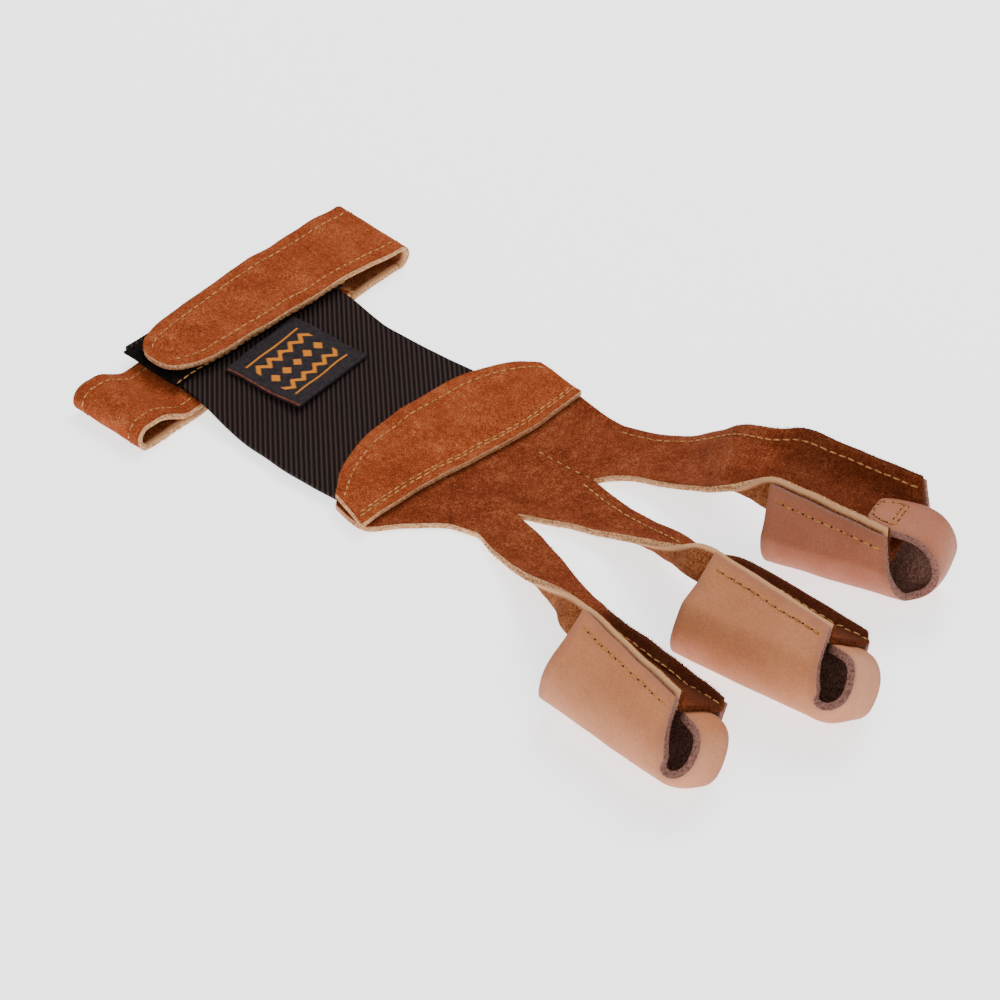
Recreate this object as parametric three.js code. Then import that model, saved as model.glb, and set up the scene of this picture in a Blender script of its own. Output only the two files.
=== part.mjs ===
// A three-finger archery glove lying on a table, its wrist strap closed in a flat ring.
// Millimetres. +X runs from the wrist to the fingertips, +Y to the index finger's side, +Z up.
// Every piece is a sheet: a grid of points on its middle surface, given its real thickness.

import * as THREE from 'three';

// Driving dimensions

// Clear space kept between two sheets that lie on each other
const GAP = 0.3;

// The suede body over the knuckles, up to the roots of the three finger straps
const BODY = { length: 50, width: 76, thick: 1.6 };

// Where the body's wrist edge and the line that the finger straps are measured from lie,
// in shares of the body's length ahead of the frame's working origin
const BODY_PLACES = { back: -0.76, straps: 0.246 };

// The three finger straps that run out of the body
const NECK = { reach: 55, width: 12, margin: 5 };

// A smooth leather stall: a U of radius and side, closed at the tip by a curled tongue
const STALL = {
  radius: 10.5, side: 12, length: 40, thick: 1.9, notch: 2.6, sweep: 5, fillet: 5,
  tongueWidth: 12, tongueTail: 8, curlRadius: 7.5, curlLead: 2.5,
};

// How the strap's turned-up margins stand inside the stall's walls
const SEAM = { overlap: 0.8, depth: 5.2, overhang: 1.2, sag: 0.17 };

// The ribbed elastic band, tucked under the knuckle patch and under the loop tape
const ELASTIC = { length: 86, width: 59, thick: 1.2, tuck: 16, sag: 2.4, descent: 18, rise: 12 };

// The wrist strap: one strip of suede folded over at both ends
const STRAP = {
  width: 23.9, thick: 1.5, span: 103.6, inner: 80, tongue: 82, taper: 4, taperRun: 48,
  bulge: 4.9, bulgeRun: 11, bulgeEnd: 7, fold: 7.2, hump: 1.8, humpRun: 24,
};

// Shares of the strap's span and width: where it starts, its skew at both ends, its rounded tongue
const STRAP_PLACES = { left: -0.47, skewLeft: 0.31, skewRight: -0.02, rounding: 0.5, tip: 0.25 };

// Fastener tapes, both sewn on the strap
const TAPE = { thick: 0.9, loopWidth: 20, loopLength: 59, hookWidth: 18, loopInset: 1, hookInset: 3 };

// The folded woven label beside the strap
const LABEL = { length: 24, width: 27.6, thick: 1.0, turn: 7, side: -1.2, offset: 1.5, lift: 0.9 };

// The half-moon patch steps down past the elastic's end
const PATCH = { stepBefore: 1, stepAfter: 8 };

// Finger stalls. Places are shares of the body's width and the straps' reach, turns are degrees, lean
// and flatten are pure shares, and the other columns are shares of the stall's sizes: its mouth and
// tip radius, the walls' height on both sides, the mouth's notch, its slant as a share of the length,
// the tongue's tail, its edges and its curl, and the strap margins' depth left at the tip.
const FINGERS = [
  {
    name: 'ring', along: 0.84, side: -0.532, heading: -2.5, rollMouth: 54, rollTip: 44, pitch: 0.5,
    radiusMouth: 0.886, radiusTip: 0.97, sideMouth: 0.96, sideTip: 0.58, farMouth: 1.25, farTip: 1.45,
    lean: 0.05, flatten: 0.98, length: 1.01, notch: 0.6, slant: 0.05,
    curl: 0.9, tail: 0.35, tongueNear: 0.5, tongueFar: 0.5, depthTip: 0.22,
  },
  {
    name: 'middle', along: 1.017, side: -0.095, heading: 4.1, rollMouth: 40.5, rollTip: 47.8, pitch: 2.3,
    radiusMouth: 1.055, radiusTip: 1.0, sideMouth: 1.08, sideTip: 0.66, farMouth: 0.9, farTip: 1.25,
    lean: 0.4, flatten: 0.98, length: 1.04, notch: 0.6, slant: 0.07,
    curl: 0.97, tail: 0.35, tongueNear: 0.5, tongueFar: 0.76, depthTip: 0.22,
  },
  {
    name: 'index', along: 0.889, side: 0.416, heading: 15.9, rollMouth: 6.5, rollTip: 4.7, pitch: 2.5,
    radiusMouth: 1.045, radiusTip: 1.15, sideMouth: 0.93, sideTip: 0.53, farMouth: 1.19, farTip: 1.19,
    lean: 0.45, flatten: 0.735, length: 0.888, notch: 0.2, slant: 0.0,
    curl: 1.2, tail: 1.25, tongueNear: 0.42, tongueFar: 0.7, depthTip: 1.0,
  },
];

// How round the tongue's end is: the share of its width left at the very end
const TONGUE_TIP = 0.45;

// Cross-sections of each strap between its root and its stall's mouth. run is the share of the way,
// lift the share of the mouth's height, side and spread are shares of the strap's width, roll is the
// share of the mouth's roll, near and far are the margins' upward fold as shares of a right angle.
const NECK_SECTIONS = {
  ring: [
    { run: 0.235, side: 0.18, lift: 0.1, spread: 1.1, roll: 0.02, near: 0.1, far: 0.0 },
    { run: 0.42, side: 0.23, lift: 0.28, spread: 1.02, roll: 0.1, near: 0.2, far: 0.0 },
    { run: 0.65, side: 0.12, lift: 0.62, spread: 1.35, roll: 0.5, near: 0.5, far: 0.2 },
    { run: 0.86, side: 0.1, lift: 0.95, spread: 1.7, roll: 0.7, near: 0.8, far: 0.4 },
  ],
  middle: [
    { run: 0.19, side: 0.24, lift: 0.06, spread: 1.32, roll: 0.0, near: 0.1, far: 0.0 },
    { run: 0.415, side: 0.42, lift: 0.22, spread: 0.92, roll: 0.05, near: 0.2, far: 0.0 },
    { run: 0.67, side: 0.25, lift: 0.65, spread: 1.15, roll: 0.4, near: 0.5, far: 0.2 },
    { run: 0.87, side: 0.03, lift: 0.92, spread: 1.6, roll: 0.85, near: 0.8, far: 0.3 },
  ],
  index: [
    { run: 0.19, side: 0.28, lift: 0.08, spread: 1.58, roll: 0.0, near: 0.1, far: 0.0 },
    { run: 0.43, side: 0.41, lift: 0.32, spread: 1.7, roll: -1.6, near: 0.1, far: 0.0 },
    { run: 0.64, side: 0.22, lift: 0.78, spread: 1.8, roll: -3.6, near: 0.3, far: 0.1 },
    { run: 0.86, side: 0.02, lift: 1.0, spread: 2.0, roll: -2.2, near: 0.7, far: 0.4 },
  ],
};

// The body's outline in shares of its length (along) and width (side)
const WRIST_EDGE = [
  { along: 0.23, side: -0.395 }, { along: 0.118, side: -0.3 }, { along: 0.026, side: -0.145 },
  { along: -0.004, side: 0.018 }, { along: 0.004, side: 0.197 }, { along: 0.036, side: 0.366 },
  { along: 0.13, side: 0.5 }, { along: 0.244, side: 0.562 },
];
const BODY_NEAR_EDGE = [
  { along: 0.23, side: -0.395 }, { along: 0.44, side: -0.41 }, { along: 0.586, side: -0.305 },
  { along: 0.72, side: -0.22 }, { along: 0.88, side: -0.188 },
];
const BODY_FAR_EDGE = [
  { along: 0.244, side: 0.562 }, { along: 0.394, side: 0.572 }, { along: 0.538, side: 0.556 },
  { along: 0.728, side: 0.537 }, { along: 0.84, side: 0.539 },
];
// Where one finger strap's root ends and the next begins, from the ring to the index finger
const ROOTS = [
  { along: 0.88, side: -0.188 }, { along: 0.92, side: -0.03 },
  { along: 1.006, side: 0.258 }, { along: 0.84, side: 0.539 },
];
// The knuckle patch shares the wrist edge and ends in a nearly straight cut
const PATCH_NEAR_EDGE = [{ along: 0.23, side: -0.395 }, { along: 0.46, side: -0.432 }];
const PATCH_CUT_EDGE = [
  { along: 0.46, side: -0.432 }, { along: 0.462, side: -0.247 }, { along: 0.48, side: -0.071 },
  { along: 0.53, side: 0.179 }, { along: 0.544, side: 0.367 }, { along: 0.53, side: 0.556 },
];
const PATCH_FAR_EDGE = [{ along: 0.244, side: 0.562 }, { along: 0.53, side: 0.556 }];

// The elastic's edges bow: half-widths along its length as shares of its width
const ELASTIC_SECTIONS = [
  { along: 0, near: -0.42, far: 0.51 }, { along: 0.28, near: -0.445, far: 0.505 },
  { along: 0.48, near: -0.485, far: 0.485 }, { along: 0.68, near: -0.505, far: 0.495 },
  { along: 0.86, near: -0.5, far: 0.52 }, { along: 1, near: -0.49, far: 0.525 },
];

// Sheets

const radians = THREE.MathUtils.degToRad;
const mix = THREE.MathUtils.lerp;
const ease = (t) => THREE.MathUtils.smoothstep(t, 0, 1);

/** Shares from 0 to 1 in a number of equal steps. */
function shares(steps) {
  return Array.from({ length: steps + 1 }, (_, i) => i / steps);
}

/** A growing list of surface points and the quads between them. */
class Sheet {
  constructor() {
    this.points = [];
    this.quads = [];
  }

  /** Adds rows of points as a grid. A point may be an index already in the sheet. */
  addGrid(rows) {
    const index = rows.map((row) => row.map((p) => (typeof p === 'number' ? p : this.points.push(p) - 1)));
    for (let r = 0; r + 1 < index.length; r += 1) {
      for (let c = 0; c + 1 < index[r].length; c += 1) {
        this.quads.push([index[r][c], index[r][c + 1], index[r + 1][c + 1], index[r + 1][c]]);
      }
    }
    return index;
  }

  /** Unit normals at the points, averaged over the quads round each. */
  normals() {
    const normals = this.points.map(() => new THREE.Vector3());
    for (const quad of this.quads) {
      const [a, b, c, d] = quad.map((i) => this.points[i]);
      const face = new THREE.Vector3().crossVectors(c.clone().sub(a), d.clone().sub(b));
      quad.forEach((i) => normals[i].add(face));
    }
    return normals.map((n) => n.normalize());
  }

  /** The closed solid of this sheet, thick millimetres through. */
  solid(thick) {
    const count = this.points.length;
    const normals = this.normals();
    const corners = [1, -1].flatMap((way) => (
      this.points.map((p, i) => p.clone().addScaledVector(normals[i], (way * thick) / 2))
    ));
    const triangles = [];
    const edges = new Map();
    for (const quad of this.quads) {
      const [a, b, c, d] = quad;
      const flip = corners[a].distanceTo(corners[c]) > corners[b].distanceTo(corners[d]);
      const halves = flip ? [[b, c, d], [b, d, a]] : [[a, b, c], [a, c, d]];
      halves.forEach(([i, j, k]) => triangles.push(i, j, k, i + count, k + count, j + count));
      quad.forEach((from, n) => {
        const to = quad[(n + 1) % quad.length];
        if (!edges.delete(`${to} ${from}`)) edges.set(`${from} ${to}`, [from, to]);
      });
    }
    for (const [from, to] of edges.values()) {
      triangles.push(to, from, from + count, to, from + count, to + count);
    }
    const geometry = new THREE.BufferGeometry();
    const xyz = corners.flatMap((p) => [p.x, p.y, p.z]);
    geometry.setAttribute('position', new THREE.Float32BufferAttribute(xyz, 3));
    geometry.setIndex(triangles);
    geometry.computeVertexNormals();
    return geometry;
  }
}

/** A smooth curve through points, sampled at evenly spaced shares. */
function smooth(points, steps) {
  const curve = new THREE.CatmullRomCurve3(points, false, 'centripetal');
  return steps.map((t) => curve.getPointAt(t));
}

/** Rows of points lofted smoothly through a few cross-sections of equal length. */
function loft(sections, stepsBetween) {
  const columns = sections[0].map((_, c) => new THREE.CatmullRomCurve3(
    sections.map((row) => row[c]), false, 'centripetal',
  ));
  const rows = (sections.length - 1) * stepsBetween;
  return shares(rows).map((t) => columns.map((curve) => curve.getPoint(t)));
}

/** A patch that fills four edges. Rows run from edge start to edge end, columns from near to far. */
function fill(start, end, near, far) {
  const rows = near.length - 1;
  const columns = start.length - 1;
  const blend = (a, b, t) => a.clone().lerp(b, t);
  return near.map((nearPoint, r) => start.map((startPoint, c) => {
    const u = r / rows;
    const v = c / columns;
    const across = blend(nearPoint, far[r], v);
    const along = blend(startPoint, end[c], u);
    const corners = blend(blend(start[0], start[columns], v), blend(end[0], end[columns], v), u);
    return across.add(along).sub(corners);
  }));
}

// Heights of the layers, each on the one below

const bodyMiddle = BODY.thick / 2;
const layer = {
  strapBottom: STRAP.thick / 2,
  strapInner: STRAP.thick * 1.5 + GAP,
};
layer.elasticWrist = layer.strapInner + STRAP.thick / 2 + GAP + ELASTIC.thick / 2;
layer.loopTape = layer.elasticWrist + ELASTIC.thick / 2 + GAP + TAPE.thick / 2;
layer.hookTape = layer.loopTape + TAPE.thick + GAP;
layer.strapTongue = layer.hookTape + TAPE.thick / 2 + GAP + STRAP.thick / 2;
layer.elasticHand = BODY.thick + GAP + ELASTIC.thick / 2;
layer.patchHigh = layer.elasticHand + ELASTIC.thick / 2 + GAP + BODY.thick / 2;
layer.patchLow = BODY.thick * 1.5 + GAP * 2;

// Places along the glove

const bodyBack = BODY_PLACES.back * BODY.length;
const strapsStart = BODY_PLACES.straps * BODY.length;
const elasticFront = bodyBack + ELASTIC.tuck;
const elasticBack = elasticFront - ELASTIC.length;
const strapMiddle = elasticBack + STRAP.width / 2 - GAP;

/** A point of the body's outline from its shares. */
function bodyPoint({ along, side }, height) {
  return new THREE.Vector3(bodyBack + along * BODY.length, side * BODY.width, height);
}

// Finger stalls

/** The real sizes of one finger's stall. */
function stallSizes(finger) {
  const along = strapsStart + finger.along * NECK.reach;
  return {
    ...finger,
    mouth: new THREE.Vector3(along, finger.side * BODY.width, 0),
    length: finger.length * STALL.length,
    curlRadius: finger.curl * STALL.curlRadius,
    tail: finger.tail * STALL.tongueTail,
    radius: (s) => mix(finger.radiusMouth, finger.radiusTip, s) * STALL.radius,
    side: (s) => mix(finger.sideMouth, finger.sideTip, s) * STALL.side,
    slant: finger.slant * STALL.length,
    notch: finger.notch * STALL.notch,
    tongueNear: -finger.tongueNear * STALL.tongueWidth,
    tongueFar: finger.tongueFar * STALL.tongueWidth,
    farSide: (s) => mix(finger.farMouth, finger.farTip, s),
  };
}

/** Half the girth of the stall's leather at a share of its length. */
function halfGirth(stall, s) {
  return (Math.PI * stall.radius(s)) / 2 + stall.side(s);
}

/** The stall's own directions at a share of its length: along it, across it and up through it. */
function stallFrame(stall, s) {
  const heading = radians(stall.heading);
  const pitch = radians(stall.pitch);
  const roll = radians(mix(stall.rollMouth, stall.rollTip, s));
  const ahead = new THREE.Vector3(
    Math.cos(heading) * Math.cos(pitch), Math.sin(heading) * Math.cos(pitch), Math.sin(pitch),
  );
  const level = new THREE.Vector3(-Math.sin(heading), Math.cos(heading), 0);
  const upright = new THREE.Vector3().crossVectors(ahead, level);
  const across = level.clone().multiplyScalar(Math.cos(roll)).addScaledVector(upright, -Math.sin(roll));
  const up = level.clone().multiplyScalar(Math.sin(roll)).addScaledVector(upright, Math.cos(roll));
  return { ahead, across, up };
}

/**
 * A point on the stall's leather. run is the way from the mouth, girth the way round from the bottom
 * line, negative on the ring finger's side, out the distance outside the middle surface.
 */
function stallPoint(stall, run, girth, out = 0) {
  const s = Math.min(run / stall.length, 1);
  const { ahead, across, up } = stallFrame(stall, s);
  const radius = stall.radius(s);
  const besideTongue = Math.max(girth - stall.tongueFar, stall.tongueNear - girth, 0);
  const curlStart = stall.length - STALL.curlLead * (1 - ease(Math.min(besideTongue / STALL.fillet, 1)));
  const point = stall.mouth.clone().addScaledVector(ahead, Math.min(run, curlStart));
  point.z += radius + STALL.thick / 2;
  point.addScaledVector(up, -radius);
  const turn = Math.min(Math.max(run - curlStart, 0) / stall.curlRadius, Math.PI);
  const past = Math.max(run - curlStart - Math.PI * stall.curlRadius, 0);
  point.addScaledVector(ahead, stall.curlRadius * Math.sin(turn) - past);
  point.addScaledVector(up, stall.curlRadius * (1 - Math.cos(turn)));
  const inward = up.clone().multiplyScalar(Math.cos(turn)).addScaledVector(ahead, -Math.sin(turn));
  const bend = (1 - stall.flatten * ease(Math.min(turn / (Math.PI / 2), 1))) / radius;
  const arc = Math.min(Math.abs(girth), Math.PI / 2 / bend);
  const straight = (Math.abs(girth) - arc) * (girth > 0 ? stall.farSide(s) : 1);
  const way = Math.sign(girth);
  const sideways = way * Math.sin(arc * bend) / bend + stall.lean * straight;
  const rise = (1 - Math.cos(arc * bend)) / bend + straight;
  const normal = across.clone().multiplyScalar(way * Math.sin(arc * bend));
  normal.addScaledVector(inward, straight > 0 ? -way * stall.lean : -Math.cos(arc * bend)).normalize();
  return point.addScaledVector(across, sideways).addScaledVector(inward, rise).addScaledVector(normal, out);
}

/** How far the leather's mouth edge stands back at a share of the half girth, negative on the near side. */
function mouthSkew(stall, share) {
  return stall.slant * Math.max(-share, 0) + stall.notch * Math.sin(Math.PI * Math.min(Math.abs(share), 1));
}

/** The leather's columns on one side of the tongue: their girth and where the leather ends there. */
function wingColumns(stall, tongueEdge) {
  const way = Math.sign(tongueEdge);
  const wing = halfGirth(stall, 1);
  const root = Math.abs(tongueEdge);
  const straight = shares(6).map((t) => ({
    girth: way * mix(wing, root + STALL.fillet, t), end: stall.length - STALL.sweep * (1 - t),
  }));
  const round = shares(3).slice(1).map((t) => ({
    girth: way * (root + STALL.fillet * (1 - Math.sin((t * Math.PI) / 2))),
    end: stall.length + STALL.fillet * (1 - Math.cos((t * Math.PI) / 2)),
  }));
  return [...straight, ...round];
}

/** The leather sheet of one stall: a wrapped rectangle and the tongue that curls over the tip. */
function stallSheet(stall) {
  const sheet = new Sheet();
  const near = wingColumns(stall, stall.tongueNear);
  const far = wingColumns(stall, stall.tongueFar);
  const tongueColumns = shares(6);
  const start = stall.length + STALL.fillet;
  const inner = tongueColumns.slice(1, -1).map((t) => ({
    girth: mix(stall.tongueNear, stall.tongueFar, t), end: start,
  }));
  const columns = [...near, ...inner, ...far.slice().reverse()];
  const wing = halfGirth(stall, 1);
  const widen = halfGirth(stall, 0) / wing;
  const rows = shares(9).map((t) => columns.map(({ girth, end }) => {
    const s = Math.min((t * end) / stall.length, 1);
    const run = t * end + mouthSkew(stall, girth / wing) * (1 - s);
    return stallPoint(stall, run, girth * mix(widen, 1, s));
  }));
  const index = sheet.addGrid(rows);
  const first = near.length - 1;
  const joint = index[index.length - 1].slice(first, first + tongueColumns.length);
  const total = stall.length - STALL.curlLead + Math.PI * stall.curlRadius + stall.tail;
  const middle = (stall.tongueNear + stall.tongueFar) / 2;
  const half = (stall.tongueFar - stall.tongueNear) / 2;
  const tongueRows = shares(13).slice(1).map((t) => {
    const run = mix(start, total, t);
    const left = Math.min((total - run) / half, 1);
    const width = half * mix(TONGUE_TIP, 1, Math.sqrt(1 - (1 - left) ** 2));
    return tongueColumns.map((v) => stallPoint(stall, run, middle + mix(-width, width, v)));
  });
  sheet.addGrid([joint, ...tongueRows]);
  return sheet;
}

// Columns of a finger strap's section: down each turned-up margin, then across the floor between them
const MARGIN_DOWN = [0, 0.5, 1];
const TROUGH_FLOOR = [0.12, 0.35, 0.65, 0.88];
const NECK_FLOOR = [-0.76, -0.3, 0.3, 0.76];
const WIDEST_MARGIN = 0.6;

// Shares of the stall's length where the strap's sections stand inside it
const TROUGH_RUNS = [-0.07, 0.15, 0.37, 0.59, 0.78];

/** A cross-section of a finger strap inside its stall, at a way from the mouth. */
function troughSection(stall, run) {
  const s = THREE.MathUtils.clamp(run / stall.length, 0, 1);
  const edge = halfGirth(stall, s);
  const inset = -(STALL.thick / 2 + GAP + BODY.thick / 2);
  const depth = SEAM.depth * mix(1, stall.depthTip, ease(s));
  const wall = (way, down) => {
    const scale = way > 0 ? stall.farSide(s) : 1;
    return stallPoint(stall, Math.min(run, stall.length), way * (edge - down / scale), inset);
  };
  const { up } = stallFrame(stall, s);
  const downs = MARGIN_DOWN.map((t) => (t === 0 ? -SEAM.overlap : depth * t));
  const nearWall = downs.map((down) => wall(-1, down));
  const farWall = downs.map((down) => wall(1, down));
  const floor = TROUGH_FLOOR.map((t) => {
    const point = nearWall[2].clone().lerp(farWall[2], t);
    return point.addScaledVector(up, -SEAM.sag * depth);
  });
  return [...nearWall, ...floor, ...farWall.reverse()];
}

/** A cross-section of a finger strap between its root and its stall. */
function neckSection(section, stall, rootMiddle, mouthMiddle) {
  const chord = mouthMiddle.clone().sub(rootMiddle);
  const travel = Math.atan2(chord.y, chord.x);
  const heading = mix(travel, radians(stall.heading), section.run ** 2);
  const level = new THREE.Vector3(-Math.sin(heading), Math.cos(heading), 0);
  const roll = radians(section.roll * stall.rollMouth);
  const across = level.clone().multiplyScalar(Math.cos(roll)).setZ(-Math.sin(roll));
  const up = level.clone().multiplyScalar(Math.sin(roll)).setZ(Math.cos(roll));
  const middle = rootMiddle.clone().lerp(mouthMiddle, section.run);
  middle.addScaledVector(level, section.side * NECK.width);
  middle.z = rootMiddle.z + section.lift * (mouthMiddle.z - rootMiddle.z);
  const half = (section.spread * NECK.width) / 2;
  const margin = Math.min(NECK.margin, half * WIDEST_MARGIN);
  const flat = half - margin;
  const side = (way, fold) => MARGIN_DOWN.map((down) => {
    const angle = (fold * Math.PI) / 2;
    const out = (1 - down) * margin;
    const point = middle.clone().addScaledVector(across, way * (flat + out * Math.cos(angle)));
    return point.addScaledVector(up, out * Math.sin(angle));
  });
  const floor = NECK_FLOOR.map((t) => middle.clone().addScaledVector(across, t * flat));
  return [...side(-1, section.near), ...floor, ...side(1, section.far).reverse()];
}

/** Shares across a strap's section, to match its columns at the root. */
const SECTION_COLUMNS = [0, 0.11, 0.22, 0.3, 0.42, 0.58, 0.7, 0.78, 0.89, 1];

/** The suede body with its three finger straps, one cut sheet. */
function handSheet(stalls) {
  const sheet = new Sheet();
  const height = bodyMiddle;
  const roots = ROOTS.map((share) => bodyPoint(share, height));
  const end = stalls.flatMap((_, n) => {
    const columns = SECTION_COLUMNS.map((t) => roots[n].clone().lerp(roots[n + 1], t));
    return n === 0 ? columns : columns.slice(1);
  });
  const even = shares(end.length - 1);
  const start = smooth(WRIST_EDGE.map((share) => bodyPoint(share, height)), even);
  const steps = shares(7);
  const near = smooth(BODY_NEAR_EDGE.map((share) => bodyPoint(share, height)), steps);
  const far = smooth(BODY_FAR_EDGE.map((share) => bodyPoint(share, height)), steps);
  const index = sheet.addGrid(fill(start, end, near, far));
  const rim = index[index.length - 1];
  stalls.forEach((stall, n) => {
    const first = n * (SECTION_COLUMNS.length - 1);
    const rootIndex = rim.slice(first, first + SECTION_COLUMNS.length);
    const rootPoints = rootIndex.map((i) => sheet.points[i]);
    const rootMiddle = rootPoints[0].clone().lerp(rootPoints[rootPoints.length - 1], 0.5);
    const mouthRow = troughSection(stall, 0);
    const mouthMiddle = mouthRow[4].clone().lerp(mouthRow[5], 0.5);
    const sections = [
      rootPoints,
      ...NECK_SECTIONS[stall.name].map((section) => neckSection(section, stall, rootMiddle, mouthMiddle)),
      ...TROUGH_RUNS.map((s) => troughSection(stall, s * stall.length)),
      troughSection(stall, stall.length - STALL.sweep + SEAM.overhang),
    ];
    const rows = loft(sections, 2).slice(1);
    sheet.addGrid([rootIndex, ...rows]);
  });
  return sheet;
}

// Flat pieces over the body

/** The half-moon of suede over the elastic's end. */
function patchSheet() {
  const columns = shares(16);
  const rows = shares(6);
  const outline = (edge) => edge.map((share) => bodyPoint(share, 0));
  const grid = fill(
    smooth(outline(WRIST_EDGE), columns), smooth(outline(PATCH_CUT_EDGE), columns),
    smooth(outline(PATCH_NEAR_EDGE), rows), smooth(outline(PATCH_FAR_EDGE), rows),
  );
  grid.forEach((row) => row.forEach((p) => {
    const stepStart = elasticFront - PATCH.stepBefore;
    const down = THREE.MathUtils.smoothstep(p.x, stepStart, elasticFront + PATCH.stepAfter);
    p.setZ(mix(layer.patchHigh, layer.patchLow, down));
  }));
  const sheet = new Sheet();
  sheet.addGrid(grid);
  return sheet;
}

/** Height of the elastic's middle surface: on the strap, sagging, then on the body. */
function elasticHeight(x, y) {
  const strapFront = strapMiddle + STRAP.width / 2 + strapDrift(y);
  const leave = THREE.MathUtils.smoothstep(x, strapFront + GAP, strapFront + ELASTIC.descent);
  const riseEnd = bodyBack - ELASTIC.thick;
  const rise = THREE.MathUtils.smoothstep(x, riseEnd - ELASTIC.rise, riseEnd);
  return mix(mix(layer.elasticWrist, ELASTIC.sag, leave), layer.elasticHand, rise);
}

/** The elastic band. */
function elasticSheet() {
  const sections = ELASTIC_SECTIONS.map(({ along, near, far }) => shares(6).map((v) => (
    new THREE.Vector3(elasticBack + along * ELASTIC.length, mix(near, far, v) * ELASTIC.width, 0)
  )));
  const rows = loft(sections, 4);
  rows.forEach((row) => row.forEach((p) => p.setZ(elasticHeight(p.x, p.y))));
  const sheet = new Sheet();
  sheet.addGrid(rows);
  return sheet;
}

// Wrist strap and its tapes

const strapLeft = STRAP_PLACES.left * STRAP.span;
const strapRight = strapLeft + STRAP.span;
const innerEnd = strapLeft + STRAP.inner;
const tongueEnd = strapRight - STRAP.tongue;
const bulgeTop = layer.strapBottom + STRAP.thick + STRAP.bulge;

/** Height of the strap's inner run, which lifts into the fold at its left end. */
function innerHeight(y) {
  const end = -strapLeft - STRAP.bulgeEnd;
  const lift = THREE.MathUtils.smoothstep(-y, end - STRAP.bulgeRun, end);
  return mix(layer.strapInner, bulgeTop, lift);
}

/** Sideways drift of the strap's lower runs: the loop lies a little skewed. */
function strapDrift(y) {
  const t = THREE.MathUtils.smoothstep(y, strapLeft, strapRight);
  return STRAP.width * mix(STRAP_PLACES.skewLeft, STRAP_PLACES.skewRight, t);
}

/** The way of the folded strap: across (y), height (z) and drift (x), from its cut end to its tongue. */
function strapPath() {
  const path = [];
  const add = (y, z, drift) => path.push(new THREE.Vector3(strapMiddle + drift, y, z));
  const leftRadius = (bulgeTop - layer.strapBottom) / 2;
  const rightRadius = (STRAP.fold - STRAP.thick) / 2;
  const leftCentre = strapLeft + leftRadius + STRAP.thick / 2;
  const rightCentre = strapRight - rightRadius - STRAP.thick / 2;
  for (const t of shares(14).slice(0, -1)) {
    const y = mix(innerEnd, leftCentre, t);
    add(y, innerHeight(y), strapDrift(y));
  }
  for (const t of shares(8)) {
    const angle = t * Math.PI;
    const y = leftCentre - leftRadius * Math.sin(angle);
    add(y, layer.strapBottom + leftRadius * (1 + Math.cos(angle)), strapDrift(y));
  }
  for (const t of shares(9).slice(1, -1)) {
    const y = mix(leftCentre, rightCentre, t);
    add(y, layer.strapBottom, strapDrift(y));
  }
  for (const t of shares(8)) {
    const angle = t * Math.PI;
    const y = rightCentre + rightRadius * Math.sin(angle);
    add(y, layer.strapBottom + rightRadius * (1 - Math.cos(angle)), strapDrift(rightCentre) * (1 - t));
  }
  for (const t of shares(16).slice(1)) {
    const y = mix(rightCentre, tongueEnd, t);
    const drop = THREE.MathUtils.smoothstep(y, innerEnd + GAP, rightCentre);
    add(y, mix(layer.strapTongue, STRAP.fold - STRAP.thick / 2, drop), 0);
  }
  return path;
}

/** The wrist strap, its tongue rounded at the end. */
function strapSheet() {
  const path = strapPath();
  const rounding = STRAP.width * STRAP_PLACES.rounding;
  const rows = path.map((centre, i) => {
    const before = path[Math.max(i - 1, 0)];
    const after = path[Math.min(i + 1, path.length - 1)];
    const tangent = after.clone().sub(before).normalize();
    const across = new THREE.Vector3(1, 0, 0).addScaledVector(tangent, -tangent.x).normalize();
    const upper = i > path.length / 2;
    const left = upper ? Math.min(Math.abs(centre.y - tongueEnd) / rounding, 1) : 1;
    const half = (STRAP.width / 2) * mix(STRAP_PLACES.tip, 1, Math.sqrt(1 - (1 - left) ** 2));
    const taper = upper ? 1 - THREE.MathUtils.smoothstep(centre.y, tongueEnd, tongueEnd + STRAP.taperRun) : 0;
    const height = (centre.z - layer.strapBottom) / (STRAP.fold - STRAP.thick);
    const hump = THREE.MathUtils.smoothstep(centre.y, strapRight - STRAP.humpRun, strapRight - STRAP.fold);
    return [-1, -0.5, 0, 0.5, 1].map((v) => {
      const towardWrist = (1 - v) / 2;
      const point = centre.clone().addScaledVector(across, v * half + STRAP.taper * taper * towardWrist);
      if (upper) point.z += STRAP.hump * hump * height * towardWrist;
      return point;
    });
  });
  const sheet = new Sheet();
  sheet.addGrid(rows);
  return sheet;
}

/** A flat strip of tape at a height, its long side across the glove. */
function tapeSheet(frontX, width, startY, length, height) {
  const sheet = new Sheet();
  sheet.addGrid(shares(2).map((u) => shares(6).map((v) => (
    new THREE.Vector3(frontX - width + u * width, startY + v * length, height)
  ))));
  return sheet;
}

/** The folded label, one edge at the tape, lying on the elastic. */
function labelSheet() {
  const back = strapMiddle + STRAP.width / 2 + LABEL.offset;
  const turn = radians(LABEL.turn);
  const rows = shares(6).map((u) => shares(4).map((v) => {
    const along = u * LABEL.length;
    const across = (v - 0.5) * LABEL.width;
    const x = back + along * Math.cos(turn) - across * Math.sin(turn);
    const y = LABEL.side + along * Math.sin(turn) + across * Math.cos(turn);
    const above = (ELASTIC.thick + LABEL.thick) / 2 + GAP;
    return new THREE.Vector3(x, y, elasticHeight(x, y) + above + LABEL.lift * u * u * (1 - v));
  }));
  const sheet = new Sheet();
  sheet.addGrid(rows);
  return sheet;
}

// The assembly

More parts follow.
